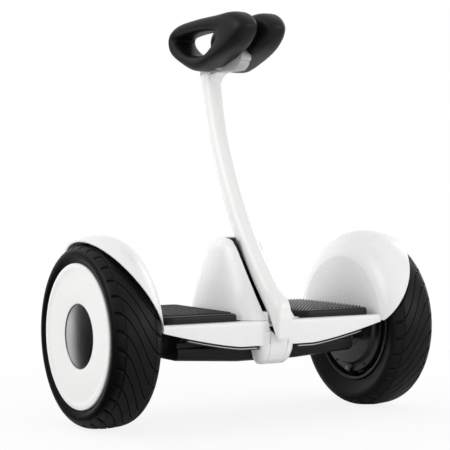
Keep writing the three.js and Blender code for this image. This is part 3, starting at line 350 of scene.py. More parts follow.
def round_bar(radius, low, high, height, centre=0.0):
    """A round bar from front to back, for cutting a hole."""
    turns = [2 * math.pi * k / ROUND_STEPS for k in range(ROUND_STEPS)]
    return skin([[(radius * math.cos(t) + centre, y, height + radius * math.sin(t))
                  for t in turns] for y in (low, high)])


def notch(gap, low, high):
    """The gap in the front cover that the foot swings in, wider above the pivot."""
    rings = []
    for z in (low, high):
        half = BAR_HALF + gap + (z - PIVOT) * LEAN_SLOPE
        rings.append([(-half, CUT_FRONT, z), (half, CUT_FRONT, z),
                      (half, NOTCH_BACK, z), (-half, NOTCH_BACK, z)])
    return skin(rings)


# Gloss white ABS: a polished mould leaves a soft orange peel and a sharp, pale reflection.
gloss_abs = finish("gloss_white_abs", "#F4F4F4", "#F1F1F1", 90.0, 2.4, 0.0015, (0.22, 0.3))
front = piece("front_cover_skin", *crescent(-1, FRONT_LEDGE_END), gloss_abs, "white_plastic", None)
carve(front, chin_form(0, CHIN_BACK), "UNION")
carve(front, chin_form(COVER_WALL + STRIP_DEEP, CHIN_BACK - CHIN_OPEN))
carve(front, block(*SHAFT_BAY))
carve(front, strip_form(STRIP_HALF + STRIP_GAP, STRIP_GAP))
carve(front, round_bar(MOUTH_RADIUS, MOUTH_FRONT, MOUTH_BACK, MOUTH_HEIGHT))
carve(front, notch(NOTCH_GAP, NOTCH_LOW, NOTCH_HIGH))
smooth(front, COVER_CREASE)
break_edges(front, COVER_BREAK)
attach(front, "chassis")
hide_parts("front_cover")

# Nose strip: a white band let into the chin, flush with it, with a hole for the steering shaft.
# It is moulded in the covers' gloss ABS and snaps into a groove, which leaves two fine seams.
MOUTH_GAP, NOSE_BREAK = 0.3, 0.45
nose = piece("nose_band", *strip_form(STRIP_HALF, 0), gloss_abs, "white_plastic", None)
carve(nose, round_bar(MOUTH_RADIUS + MOUTH_GAP, MOUTH_FRONT, MOUTH_BACK, MOUTH_HEIGHT))
smooth(nose, COVER_CREASE)
break_edges(nose, NOSE_BREAK)
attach(nose, "chassis")
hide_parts("nose_strip")

# Rear cover: the front cover's plain twin, moulded in gloss ABS and clipped on from behind.
# It has round holes for the power button and the charging socket.
REAR_LEDGE_END, HOLE_HEIGHT, HOLE_FRONT, HOLE_BACK = 98.6, 136.0, 80, 140
REAR_HOLES = [(-24.0, 9.4), (24.0, 8.4)]  # place across and radius: power button, socket
rear = piece("rear_cover_skin", *crescent(1, REAR_LEDGE_END), gloss_abs, "white_plastic", None)
for across, radius in REAR_HOLES:
    carve(rear, round_bar(radius, HOLE_FRONT, HOLE_BACK, HOLE_HEIGHT, across))
smooth(rear, COVER_CREASE)
break_edges(rear, COVER_BREAK)
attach(rear, "chassis")
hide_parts("rear_cover")

# Light strips: a slim polycarbonate lens in a black bezel under each half of the covers.
# The bezel clips up behind the cover's edge, and the lens is welded into it.
LIGHT_START, LIGHT_END, LIGHT_STEPS = 31.4, 152.0, 60
# Rows round the bezel: back from the cover's face and up from its edge.
BEZEL_ROWS = [(0.9, -0.4), (0.5, -0.9), (0.5, -5.0), (0.9, -5.4), (7.0, -5.4), (7.0, 4.0),
              (3.5, 4.0), (3.5, -0.4)]
LENS_SET, LENS_DROP, LENS_TALL, LENS_BULGE, LENS_DEEP, LENS_CREASE = 0.7, 3.2, 0.95, 0.75, 1.2, 50
LENS_TAPER, LENS_START, LENS_END = 0.35, LIGHT_START + 3.5, LIGHT_END - 3
# The lens draws in over a length at each end, to a share of its height.
LENS_INSET, INNER_RUN, OUTER_RUN, LENS_LOW = 3, 4.0, 6.0, 0.5
# Polycarbonate: hard, clear and wet looking, and dyed red behind. The front lens is coloured a pale
# silver grey as a painted highlight: it stands for the bright line that a dark lens reflects, and
# the lens's taper makes that painted line thinner toward the outer end.
highlight_painted_lens = finish("pale_highlight_lens", "#A9ACAF", "#989B9E", 9.0, 3.0, 0.01, (0.14, 0.2), coat=0.6)
red_lens = finish("red_polycarbonate", "#9C1D1A", "#7C1512", 9.0, 3.0, 0.01, (0.12, 0.2), coat=0.6)


def light_strip(side, hand, outline_at, start, end):
    """A slim form along a cover's lower edge, from an outline of (depth, height) at each place."""
    rings = []
    for i in range(LIGHT_STEPS + 1):
        x = start + (end - start) * i / LIGHT_STEPS
        rings.append([(hand * x, side * y, z) for y, z in outline_at(x)])
    return skin(rings)


def bezel_outline(x):
    """The bezel's outline, which follows the cover's face and lower edge."""
    return [(face_depth(x) - back, edge_height(x) + up) for back, up in BEZEL_ROWS]


def lens_outline(x):
    """A round front, lower toward the outer end and drawn in at both ends."""
    face, middle = face_depth(x) - LENS_SET, edge_height(x) - LENS_DROP
    reach = min(1.0, (x - LIGHT_START - LENS_INSET) / INNER_RUN, (LIGHT_END - x) / OUTER_RUN)
    taper = LENS_TAPER * (x - LIGHT_START) / (LIGHT_END - LIGHT_START)
    tall = LENS_TALL * (LENS_LOW + (1 - LENS_LOW) * reach) * (1.0 - taper)
    front = [(face + LENS_BULGE * math.cos(a), middle + tall * math.sin(a))
             for a in [math.pi / 2 * (2 * k / CORNER_ARC - 1) for k in range(CORNER_ARC + 1)]]
    return front + [(face - LENS_DEEP, middle + tall), (face - LENS_DEEP, middle - tall)]


for hand, side in SIDES:
    for facing, node, lens in [(-1, "headlight", highlight_painted_lens), (1, "tail_light", red_lens)]:
        form = light_strip(facing, hand, bezel_outline, LIGHT_START, LIGHT_END)
        piece(f"{node}_bezel_{side}", *form, satin_abs, "black_plastic", "chassis")
        # The front lens's pale grey is a painted highlight line, not a silvered strip.
        form = light_strip(facing, hand, lens_outline, LENS_START, LENS_END)
        glass = piece(f"{node}_lens_{side}", *form, lens,
                      "clear_lens" if facing < 0 else "red_lens", "chassis", crease=LENS_CREASE)
        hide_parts(f"{node}_{side}")

# Rear controls: a rubber power button and the hinged rubber cap of the charging socket, each
# pushed into its hole, and the lean stops, which are pressed on their posts.
# Moulded rubber: deep black and matt, with a faint even grain from the mould.
matt_rubber = finish("black_rubber", "#0F0F0F", "#0B0B0B", 25.0, 0.7, 0.02, (0.3, 0.4),
                     specular=0.22)
for name, bevel in [("power_button", 1.0), ("charge_cap", 0.8), ("lean_stop_left", 0.5),
                    ("lean_stop_right", 0.5)]:
    dress(name, matt_rubber, bevel=bevel)

# Foot mats: thick black rubber with diagonal ribs on top and a smooth rounded front edge.
# Each is one moulding, pushed into the deck over its rider switches.
PAD_INNER, PAD_OUTER, PAD_FRONT, PAD_REAR = 55.0, 177.0, -92.0, 98.0
PAD_LOW, PAD_TOP, PAD_CORNER, PAD_EDGE = 150.3, 163.2, 13.0, 4.0
RIB_PITCH, RIB_HEIGHT, RIB_WIDTH, RIB_ANGLE, RIB_COUNT = 5.0, 1.5, 2.8, 38, 36
RIB_MARGIN, RIB_FRONT_MARGIN, RIB_CORNER, RIB_SLOPE, RIB_SHORTEST = 3.5, 11, 11.0, 1.2, 6
RIB_END, PARALLEL = 0.15, 1e-9  # a rib's height at its ends as a share, and no crossing
# A rib's section: shares of its width and height. A height below zero is in millimetres.
RIB_SECTION = [(-0.5, -0.5), (-0.42, 0.45), (-0.22, 1), (0.22, 1), (0.42, 0.45), (0.5, -0.5)]


def rounded_ring(low, high, corner, z):
    """A rectangle with round corners, level at a height."""
    (x0, y0), (x1, y1) = low, high
    centres = [(x1 - corner, y1 - corner), (x0 + corner, y1 - corner),
               (x0 + corner, y0 + corner), (x1 - corner, y0 + corner)]
    ring = []
    for quarter, (x, y) in enumerate(centres):
        for k in range(CORNER_ARC + 1):
            angle = (quarter + k / CORNER_ARC) * math.pi / 2
            ring.append((x + corner * math.cos(angle), y + corner * math.sin(angle), z))
    return ring


def inside_span(outline, point, direction):
    """The stretch of a line that lies inside a convex outline, as two distances along it."""
    near, far = -math.inf, math.inf
    for (ax, ay, _), (bx, by, _) in zip(outline, outline[1:] + outline[:1]):
        nx, ny = by - ay, ax - bx
        across = nx * direction[0] + ny * direction[1]
        offset = nx * (ax - point[0]) + ny * (ay - point[1])
        if abs(across) < PARALLEL:
            continue
        if across > 0:
            far = min(far, offset / across)
        else:
            near = max(near, offset / across)
    return near, far


def mat_ribs(hand):
    """Rounded diagonal ribs, each a low bar with sloping ends, cut off by the mat's outline."""
    points, faces = [], []
    outline = rounded_ring((PAD_INNER + RIB_MARGIN, PAD_FRONT + RIB_FRONT_MARGIN),
                           (PAD_OUTER - RIB_MARGIN, PAD_REAR - RIB_MARGIN), RIB_CORNER, 0)
    slant = (math.sin(math.radians(RIB_ANGLE)), math.cos(math.radians(RIB_ANGLE)))
    normal = (slant[1], -slant[0])
    middle = ((PAD_INNER + PAD_OUTER) / 2, (PAD_FRONT + PAD_REAR) / 2)
    for k in range(-RIB_COUNT, RIB_COUNT + 1):
        origin = [middle[i] + normal[i] * k * RIB_PITCH for i in (0, 1)]
        near, far = inside_span(outline, origin, slant)
        if far - near < RIB_SHORTEST:
            continue
        rings = []
        for reach, rise in [(near, RIB_END), (near + RIB_SLOPE, 1), (far - RIB_SLOPE, 1),
                            (far, RIB_END)]:
            ring = []
            for off, up in RIB_SECTION:
                lift = RIB_HEIGHT * up * rise if up > 0 else up
                x, y = [origin[i] + slant[i] * reach + normal[i] * off * RIB_WIDTH for i in (0, 1)]
                ring.append((hand * x, y, PAD_TOP + lift))
            rings.append(ring)
        more_points, more_faces = skin(rings, start=len(points))
        points += more_points
        faces += more_faces
    return points, faces


for hand, side in SIDES:
    profile = [(0.0, PAD_LOW), (0.0, PAD_TOP - PAD_EDGE)]
    profile += [(PAD_EDGE * (1 - math.cos(t)), PAD_TOP - PAD_EDGE + PAD_EDGE * math.sin(t))
                for t in [math.pi / 2 * k / EDGE_ARC for k in range(1, EDGE_ARC + 1)]]
    rings = []
    for inset, z in profile:
        ring = rounded_ring((PAD_INNER + inset, PAD_FRONT + inset),
                            (PAD_OUTER - inset, PAD_REAR - inset), PAD_CORNER - inset / 2, z)
        rings.append([(hand * x, y, up) for x, y, up in ring])
    points, faces = skin(rings)
    rib_points, rib_faces = mat_ribs(hand)
    faces += [tuple(i + len(points) for i in face) for face in rib_faces]
    mat = piece(f"foot_mat_{side}", points + rib_points, faces, matt_rubber, "soft_skin",
                "chassis")
    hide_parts(f"foot_pad_{side}")

# Fenders: two thin bowls moulded in gloss white ABS, each bolted flat against the end of the deck.
# The flat disc meets the bulge in a crease, and the rim's edge is broken to catch the light.
AXLE_HEIGHT = 133.35
FENDER_FACE, FENDER_WALL, FENDER_INSET, FENDER_BREAK = 188.0, 2.5, 2.0, 0.7
FENDER_FLAT, FENDER_RADIUS, FENDER_BULGE, FENDER_OVERHANG = 104.0, 143.5, 44.0, 58.0
FENDER_CUT, FENDER_SLOPE, FENDER_ARC, FENDER_CREASE = 144.0, 0.593, 0.86, 0.1
FENDER_STEPS, FENDER_ROWS, FENDER_MIDDLE, HALVED_POINT = 160, 32, 0.6, 0.001
FENDER_SHADE, FENDER_ANGLE = 15, 50  # degrees, for a sharp shade and for a rounded edge


def turned(profile, steps, centre, hand, start=0):
    """Points and faces of a body turned about X from (radius, place along X) pairs."""
    rings = []
    for i in range(steps):
        angle = 2 * math.pi * i / steps
        rings.append([(centre[0] + hand * along, centre[1] + radius * math.sin(angle),
                       centre[2] + radius * math.cos(angle)) for radius, along in profile])
    return skin(rings, closed=True, start=start)


def halve(made, point, normal):
    """Cuts a piece with a plane, drops the side the normal points to, and closes the cut."""
    shaped = bmesh.new()
    shaped.from_mesh(made.data)
    bmesh.ops.remove_doubles(shaped, verts=shaped.verts, dist=HALVED_POINT * MM)
    everything = shaped.verts[:] + shaped.edges[:] + shaped.faces[:]
    bmesh.ops.bisect_plane(shaped, geom=everything, plane_co=Vector(point) * MM,
                           plane_no=Vector(normal), clear_outer=True)
    rim = [edge for edge in shaped.edges if edge.is_boundary]
    bmesh.ops.triangle_fill(shaped, edges=rim, use_beauty=True)
    bmesh.ops.recalc_face_normals(shaped, faces=shaped.faces)
    shaped.to_mesh(made.data)
    shaped.free()


def fender_skin(offset):
    """Rows (radius, place along the axle) over the disc, its crease, the bulge and the overhang."""
    middle = FENDER_FACE + FENDER_BULGE
    rise = FENDER_RADIUS - FENDER_FLAT - offset
    first = FENDER_CREASE * math.pi
    low = math.sin(first)
    rows = [(0.0, FENDER_FACE + offset), (FENDER_FLAT * FENDER_MIDDLE, FENDER_FACE + offset)]
    for k in range(FENDER_ROWS + 1):
        angle = first + k / FENDER_ROWS * (FENDER_ARC * math.pi - first)
        if angle < math.pi / 2:
            rows.append((FENDER_FLAT + rise * (math.sin(angle) - low) / (1 - low),
                         middle - (FENDER_BULGE - offset) * math.cos(angle) / math.cos(first)))
        else:
            rows.append((FENDER_FLAT + rise * math.sin(angle),
                         middle - (FENDER_OVERHANG - offset) * math.cos(angle)))
    return rows


for hand, side in SIDES:
    bowl = turned(fender_skin(0) + fender_skin(FENDER_WALL)[::-1], FENDER_STEPS,
                  (0, 0, AXLE_HEIGHT), hand)
    shell = piece(f"fender_shell_{side}", *bowl, gloss_abs, "white_plastic", None)
    halve(shell, (0, 0, FENDER_CUT), (0, 0, -1))
    slant = Vector((hand, 0, -FENDER_SLOPE)).normalized()
    halve(shell, (hand * (FENDER_FACE + FENDER_INSET), 0, FENDER_CUT), slant)
    smooth(shell, FENDER_SHADE)
    bevel_edges(shell, FENDER_BREAK, segments=3, angle=FENDER_ANGLE)
    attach(shell, "chassis")
    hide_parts(f"fender_{side}")

# Tyres: low tubeless tyres, vulcanised in a mould that leaves thin grooves, which start square
# on one shoulder and sweep round to the other. Their beads sit on the rims' shoulders.
WHEEL_PLANE = 236.0
TYRE_RADIUS, TYRE_HALF, BEAD_RADIUS, BEAD_DEEP, BEAD_ACROSS = 133.35, 37.0, 88.0, 6, 0.5
# A groove, and a fine line round each shoulder. Places across and heights are shares of half the
# tyre's width and of its height.
TREAD_PITCHES, TREAD_DEPTH, TREAD_SWEEP, SHOULDER_DEEPER = 32, 2.2, 3.4, 1.2
TREAD_LOW, LINE_LOW, FADE, SWEEP_END, SWEEP_LOW = 0.81, 0.85, 0.03, 0.9, 0.6
LINE_AT, LINE_WIDTH, LINE_DEPTH = 0.63, 0.028, 0.6
SECTION = [(0.662, 0.0), (0.886, 0.366), (1.0, 0.6), (0.93, 0.8), (0.62, 0.95), (0.0, 1.0)]
SECTION_STEPS = 90
# Places in one pitch, with the share of a groove's depth in the middle and on the shoulders.
GROOVE = [(0.0, 0.85, 1.0), (0.028, 0.65, 1.0), (0.052, 0.06, 0.95), (0.08, 0.0, 0.15),
          (0.11, 0.0, 0.0), (0.3, 0.0, 0.0), (0.5, 0.0, 0.0), (0.7, 0.0, 0.0), (0.89, 0.0, 0.0),
          (0.92, 0.0, 0.15), (0.948, 0.06, 0.95), (0.972, 0.65, 1.0)]


def limit(value, low, high):
    """A value held between two others."""
    return max(low, min(high, value))


def tyre_mesh(hand):
    """The tyre as slices round the axle, each slice swept along the grooves."""
    half = smooth_through(SECTION, SECTION_STEPS)
    outline = [(-x, up) for x, up in half] + [(x, up) for x, up in half[::-1][1:]]
    rings = []
    for i in range(TREAD_PITCHES):
        for turn, slim, wide in GROOVE:
            ring = []
            for x, up in outline:
                depth = 0.0
                if up > TREAD_LOW:
                    away = min(1.0, (up - TREAD_LOW) / FADE)
                    cut = slim + (wide - slim) * limit((abs(x) - LINE_AT) / FADE, 0.0, 1.0)
                    line = max(0.0, 1 - (abs(abs(x) - LINE_AT) / LINE_WIDTH) ** 2)
                    deep = max(cut * away, LINE_DEPTH * line if up > LINE_LOW else 0.0)
                    depth = (TREAD_DEPTH + SHOULDER_DEEPER * (cut - slim)) * deep
                swing = math.sin(limit(x / SWEEP_END, -1, 1) * math.pi / 2)
                sweep = TREAD_SWEEP / 2 * swing * min(1.0, up / SWEEP_LOW)
                angle = 2 * math.pi * (i + turn + hand * sweep) / TREAD_PITCHES
                radius = BEAD_RADIUS + up * (TYRE_RADIUS - BEAD_RADIUS) - depth
                ring.append((hand * WHEEL_PLANE + x * TYRE_HALF, radius * math.sin(angle),
                             AXLE_HEIGHT + radius * math.cos(angle)))
            for x in (BEAD_ACROSS, -BEAD_ACROSS):
                angle = 2 * math.pi * (i + turn) / TREAD_PITCHES
                radius = BEAD_RADIUS + BEAD_DEEP
                ring.append((hand * WHEEL_PLANE + x * TYRE_HALF, radius * math.sin(angle),
                             AXLE_HEIGHT + radius * math.cos(angle)))
            rings.append(ring)
    return skin(rings, closed=True)


# Carbon black rubber: matt and nearly black, with only a broad weak sheen on the shoulders.
tyre_rubber = finish("tyre_rubber", "#0B0B0C", "#080809", 30.0, 0.9, 0.03, (0.4, 0.5),
                     specular=0.15)
for hand, side in SIDES:
    tyre = piece(f"tyre_tread_{side}", *tyre_mesh(hand), tyre_rubber, "tyre_rubber",
                 f"wheel_{side}", crease=50)
    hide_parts(f"tyre_{side}")

# Rims: cast aluminium barrels with a lip on each side that holds the tyre. A domed lid, held by
# six round headed screws, closes the motor on its inner side.
RIM_STEPS, LID_SCREWS, SCREW_CIRCLE, SCREW_STEPS = 128, 6, 74.6, 18
# Profiles of (radius, place along the axle from the wheel's middle).
RIM_PROFILE = [
    (87.7, -24.8), (89.0, -25.4), (91.7, -26.7), (92.0, -28.2), (91.2, -29.2), (89.6, -29.4),
    (87.8, -28.9), (86.6, -27.6), (85.8, -24.0), (85.2, -13.0), (84.0, -12.0), (76.0, -12.0),
    (76.0, 16.0), (17.3, 16.0), (17.3, 22.0), (81.0, 22.0), (87.7, 27.3), (91.7, 29.2),
    (91.7, 26.7), (87.7, 24.8)]
LID_PROFILE = [
    (76.3, -12.4), (78.5, -12.4), (78.5, -28.9), (77.9, -29.5), (71.0, -29.9), (68.4, -30.6),
    (66.8, -32.0), (65.8, -34.2), (64.6, -35.6), (62.5, -36.1), (42.0, -36.3), (40.0, -36.7),
    (38.2, -37.7), (36.0, -38.1), (24.0, -38.3), (22.8, -37.6), (17.5, -37.4), (17.5, -30.2),
    (23.0, -30.2), (23.0, -33.0), (62.0, -33.0), (68.0, -27.6), (76.3, -27.6)]
SCREW_PROFILE = [(0.0, -29.9), (0.9, -29.9), (1.1, -30.7), (1.9, -30.8), (2.3, -30.5),
                 (2.3, -29.2), (0.0, -29.2)]
# Satin black wheel paint: thick on the edges, where it picks up a soft grey light.
rim_paint = finish("black_wheel_paint", "#1A1A1B", "#141415", 20.0, 1.4, 0.02, (0.26, 0.34),
                   specular=0.36)
for hand, side in SIDES:
    centre = (hand * WHEEL_PLANE, 0, AXLE_HEIGHT)
    rim = piece(f"rim_barrel_{side}", *turned(RIM_PROFILE, RIM_STEPS, centre, hand), rim_paint,
                "cast_aluminium", f"wheel_{side}")
    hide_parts(f"rim_{side}")
    points, faces = turned(LID_PROFILE, RIM_STEPS, centre, hand)
    for k in range(LID_SCREWS):
        turn = 2 * math.pi * (k + 0.5) / LID_SCREWS
        spot = (centre[0], SCREW_CIRCLE * math.sin(turn),
                AXLE_HEIGHT + SCREW_CIRCLE * math.cos(turn))
        more_points, more_faces = turned(SCREW_PROFILE, SCREW_STEPS, spot, hand, len(points))
        points, faces = points + more_points, faces + more_faces
    lid = piece(f"motor_lid_{side}", points, faces, rim_paint, "cast_aluminium", f"wheel_{side}")
    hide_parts(f"motor_cover_{side}")

# Valves: a rubber stem that leans in from the rim, with a knurled grey plastic cap on its end.
# The stem is pulled through a hole in the rim's shoulder.
ROD_STEPS = 20
# Rows along the stem and its cap: radius from the axle, place along it, half width.
VALVE_ROWS = [(87.0, -16.0, 4.6), (84.0, -20.5, 4.6), (80.5, -26.0, 4.0), (77.5, -31.0, 3.3),
              (75.2, -34.2, 3.0)]
VALVE_TIP_ROWS = [(75.9, -33.4, 3.3), (75.3, -34.2, 3.5), (73.0, -37.6, 3.4), (72.7, -38.0, 3.0),
                  (72.9, -37.8, 1.9), (73.6, -36.8, 1.6)]
# Grey nylon: satin, and uneven from the knurl, which is too fine to model.
grey_nylon = finish("grey_nylon", "#8C8C8D", "#727273", 3.0, 0.6, 0.05, (0.35, 0.45))


def leaning_rod(rows, hand):
    """A round rod through rows, below the axle."""
    rings = []
    for k, (radius, place, half) in enumerate(rows):
        before, after = rows[max(0, k - 1)], rows[min(len(rows) - 1, k + 1)]
        dr, dx = after[0] - before[0], after[1] - before[1]
        length = math.hypot(dr, dx)
        rings.append([(hand * (WHEEL_PLANE + place + half * math.cos(t) * dr / length),
                       half * math.sin(t), AXLE_HEIGHT - radius + half * math.cos(t) * dx / length)
                      for t in [2 * math.pi * j / ROD_STEPS for j in range(ROD_STEPS)]])
    return skin(rings)


for hand, side in SIDES:
    stem = piece(f"valve_rubber_{side}", *leaning_rod(VALVE_ROWS, hand), matt_rubber,
                 "black_rubber", f"wheel_{side}")
    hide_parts(f"valve_stem_{side}")
    piece(f"valve_tip_{side}", *leaning_rod(VALVE_TIP_ROWS, hand), grey_nylon,
          "cast_aluminium", f"wheel_{side}", crease=30)

# Wheel cover: a white disc, moulded in ABS and clipped over the rim. It is dished to the middle,
# with a raised bright ring round its edge.
EDGE_X, DISH, RING_IN, RING_BEVEL, RING_STEP = 36.2, 4.5, 97.8, 4.6, 1.9
DISC_HOLE, DISC_START, DISC_LIP, DISC_WALL, DISC_CURVE = 46.9, 47.4, 0.3, 3.0, 1.6
DISC_STEPS, WHEEL_STEPS = 12, 192
# White disc ABS: a shade greyer and more matt than the fenders.
disc_abs = finish("white_disc_abs", "#EDEDEC", "#E8E8E7", 90.0, 2.0, 0.01, (0.3, 0.38))
cover_profile = [(DISC_HOLE, EDGE_X - DISH), (DISC_START, EDGE_X - DISH + DISC_LIP)]
for k in range(1, DISC_STEPS + 1):
    share = k / DISC_STEPS
    hollow = (DISH - RING_STEP - DISC_LIP) * (1 - share) ** DISC_CURVE
    cover_profile.append((DISC_START + share * (RING_IN - RING_BEVEL - DISC_START),
                          EDGE_X - RING_STEP - hollow))
cover_profile += [(RING_IN - 0.7, EDGE_X - 0.35), (RING_IN, EDGE_X - 0.08),
                  (RING_IN + 0.9, EDGE_X), (102.8, EDGE_X - 0.1), (103.9, EDGE_X - 0.5),
                  (104.5, EDGE_X - 1.4), (104.6, 33.1), (94.0, 29.4), (87.0, 29.4),
                  (DISC_HOLE, EDGE_X - DISH - DISC_WALL)]
for hand, side in SIDES:
    centre = (hand * WHEEL_PLANE, 0, AXLE_HEIGHT)
    disc = piece(f"wheel_disc_{side}", *turned(cover_profile, WHEEL_STEPS, centre, hand), disc_abs,
                 "white_plastic", f"wheel_{side}", crease=30)
    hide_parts(f"wheel_cover_{side}")

# Hub cap: a low dome in the middle of the disc, pressed in behind a thin bright bead.
# It is plated plastic, and a plated steel ring makes the bead.
CAP_RADIUS, CAP_BACK, CAP_EDGE, CAP_RISE, CAP_STEPS = 45.4, 28.6, 31.0, 3.6, 20
BEAD_PROFILE = [(45.5, 30.0), (45.5, 31.4), (45.9, 31.8), (46.4, 31.7), (46.7, 31.2), (46.7, 30.0)]
# Satin chrome: a smooth plating that mirrors the light and dark of the room, a little blurred.
satin_chrome = finish("satin_chrome", "#BABABC", "#B2B2B4", 30.0, 4.0, 0.0005, (0.25, 0.26),
                      metallic=1.0)
# Plated steel: a warm grey metal, with a fine bright line where it turns.
plated_steel = finish("plated_steel", "#8A8680", "#7C7872", 10.0, 1.0, 0.01, (0.25, 0.3),
                      metallic=1.0)
cap_profile = [(0.0, CAP_BACK), (CAP_RADIUS, CAP_BACK), (CAP_RADIUS, CAP_EDGE)]
for k in range(1, CAP_STEPS + 1):
    share = 1 - k / CAP_STEPS
    cap_profile.append((CAP_RADIUS * share, CAP_EDGE + CAP_RISE * (1 - share ** 2)))
for hand, side in SIDES:
    centre = (hand * WHEEL_PLANE, 0, AXLE_HEIGHT)
    cap = piece(f"hub_dome_{side}", *turned(cap_profile, WHEEL_STEPS, centre, hand),
                satin_chrome, "dark_gloss", f"wheel_{side}", crease=60)
    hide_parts(f"hub_cap_{side}")
    piece(f"hub_bead_{side}", *turned(BEAD_PROFILE, WHEEL_STEPS, centre, hand), plated_steel,
          "dark_gloss", f"wheel_{side}")

# Column shell: a white dome over the steering shaft, one moulding screwed down from below.
# It tapers to a narrow front, is slotted for the bar, and stands on a base set in the deck.
HUMP_HALF, HUMP_DEPTH, HUMP_TOP, HUMP_BASE = 50.0, 106.0, 270.5, 152.8
HUMP_REAR, HUMP_WALL, HUMP_STEPS, HUMP_POINTS = 2.4, 3.0, 72, 128
# Rows up the dome: shares of its height, half width, rear and front reach, and its front's power.
HUMP_ROWS = [
    (0, 1, 1, 0.969, 4.5), (0.12, 0.975, 0.975, 0.879, 3.5), (0.27, 0.91, 0.93, 0.771, 2.6),
    (0.44, 0.845, 0.865, 0.674, 2.1), (0.6, 0.785, 0.77, 0.562, 2), (0.76, 0.735, 0.68, 0.442, 2),
    (0.86, 0.7, 0.61, 0.36, 2), (0.92, 0.65, 0.53, 0.297, 2), (0.965, 0.57, 0.44, 0.255, 2),
    (1, 0.4, 0.27, 0.17, 2)]
HUMP_CROWN = [(0.8, 0.35), (0.5, 0.55), (0.2, 0.6)]  # share of the last ring, and lift
BASE_LOW, BASE_HIGH, BASE_CORNER = (-52.0, -88.0, 152.7), (52.0, 96.0, 153.6), 6.0
# The bar's route: where it starts (depth, height), how far it goes, and shares of that.
BAR_DEPTH, BAR_TOP_HALF, BAR_TOP_DEPTH = 17.5, 15.5, 19.5
BAR_STEPS, FINE_STEPS, REAR_STEPS = 400, 4000, 12
BAR_START, BAR_REACH, BAR_RISE = (-89.0, 188.0), 175.0, 331.0
BAR_ROWS = [(0, 0), (0.262, 0.155), (0.485, 0.317), (0.718, 0.54), (0.892, 0.764), (1, 1)]
BAR_FLARE = [(0.7, 0.0), (0.86, 0.55), (1.0, 1.0)]  # share of the route, share of the flare
SLOT_LINER, SLOT_CLEAR, SLOT_BACK_CLEAR, SLOT_STEPS = 1.2, 0.8, 3.0, 48
# The lining's front edge and the bar's rear line, as (height, depth).
INSERT_FRONT = [(165.0, -90.2), (167, -88.9), (184, -76.3), (201, -64.6), (218, -54.2),
                (235, -43.5), (252, -33.0), (262, -27.3), (269.3, -23.5)]
REAR_LINE = [(126.76, -121.0), (133.53, -118.0), (144.03, -108.0), (154.91, -98.0),
             (165.68, -86.0)]
APRON_TOP, SET_BACK, LIP_STEP, SEAT_GAP = 165.0, 24.0, 1.0, 0.2
PAST_BASE, PAST_TOP, DOME_WELD, DOME_BREAK, DOME_CREASE = 1.0, 4, 0.6, 0.3, 30


def bend(value, power):
    """A sine or cosine drawn toward the square as the power grows."""
    return math.copysign(abs(value) ** (2 / power), value)


def hump_form(inset, base=HUMP_BASE):
    """The dome's outside, or a smaller form inside it, with a low crown on top."""
    rings = []
    height = HUMP_TOP - inset - base
    for up, across, behind, ahead, fullness in smooth_through(HUMP_ROWS, HUMP_STEPS):
        half = HUMP_HALF * across - inset
        ring = []
        for i in range(HUMP_POINTS):
            angle = 2 * math.pi * i / HUMP_POINTS
            in_front = i > HUMP_POINTS / 2
            reach = HUMP_DEPTH * (ahead if in_front else behind) - inset
            power = fullness if in_front else HUMP_REAR
            ring.append((half * bend(math.cos(angle), power), reach * bend(math.sin(angle), power),
                         base + up * height))
        rings.append(ring)
    for share, lift in HUMP_CROWN:
        rings.append([(x * share, y * share, z + lift) for x, y, z in rings[HUMP_STEPS]])
    return skin(rings)


def bar_line(share):
    """Centre, direction and half widths of the steering bar at a share of its route."""
    place = share * BAR_STEPS
    k = min(int(place), BAR_STEPS - 1)
    y, z = [a + (b - a) * (place - k) for a, b in zip(*BAR_CURVE[k:k + 2])]
    (y0, z0), (y1, z1) = BAR_CURVE[max(0, k - 1)], BAR_CURVE[min(BAR_STEPS, k + 2)]
    length = math.hypot(y1 - y0, z1 - z0)
    flare = along(BAR_FLARE, share)
    half = BAR_HALF + flare * (BAR_TOP_HALF - BAR_HALF)
    depth = BAR_DEPTH + flare * (BAR_TOP_DEPTH - BAR_DEPTH)
    return (y, z), ((y1 - y0) / length, (z1 - z0) / length), half, depth


def even_curve(rows, count):
    """Points at even steps of length along a smooth curve through rows."""
    fine = smooth_through(rows, FINE_STEPS)
    reach = [0.0]
    for a, b in zip(fine, fine[1:]):
        reach.append(reach[-1] + math.dist(a, b))
    out, k = [], 0
    for i in range(count + 1):
        goal = reach[-1] * i / count
        while k < len(fine) - 2 and reach[k + 1] < goal:
            k += 1
        out.append(fine[k + 1] if i == count else fine[k])
    return out


def along(line, place):
    """A value between the rows (place, value) of a line, held at its ends."""
    for (a, left), (b, right) in zip(line, line[1:]):
        if a <= place <= b:
            return left + (right - left) * (place - a) / (b - a)
    return line[0][1] if place < line[0][0] else line[-1][1]


BAR_CURVE = even_curve([(BAR_START[0] + BAR_REACH * y, BAR_START[1] + BAR_RISE * z)
                        for y, z in BAR_ROWS], BAR_STEPS)
for k in range(REAR_STEPS + 1):
    (y, z), (dy, dz), _, depth = bar_line(k / REAR_STEPS)
    REAR_LINE.append((z - dy * depth, y + dz * depth))


def slot_form(offset, low=PIVOT, top=HUMP_TOP + PAST_TOP, lip=None):
    """The slot that the bar leans in, wider higher up. A lip narrows its front on one side."""
    rings = []
    for k in range(SLOT_STEPS + 1):
        z = low + (top - low) * k / SLOT_STEPS
        half = BAR_HALF + (z - PIVOT) * LEAN_SLOPE + SLOT_CLEAR + offset
        back = along(REAR_LINE, z) + SLOT_BACK_CLEAR + offset
        ring = [(-half, CUT_FRONT, z), (half, CUT_FRONT, z), (half, back, z), (-half, back, z)]
        if lip:
            stop, near = min(along(INSERT_FRONT, z) + SET_BACK, back) - LIP_STEP, half - lip
            ring[1:2] = [(near, CUT_FRONT, z), (near, stop, z), (half, stop, z)]
        rings.append(ring)
    return skin(rings)


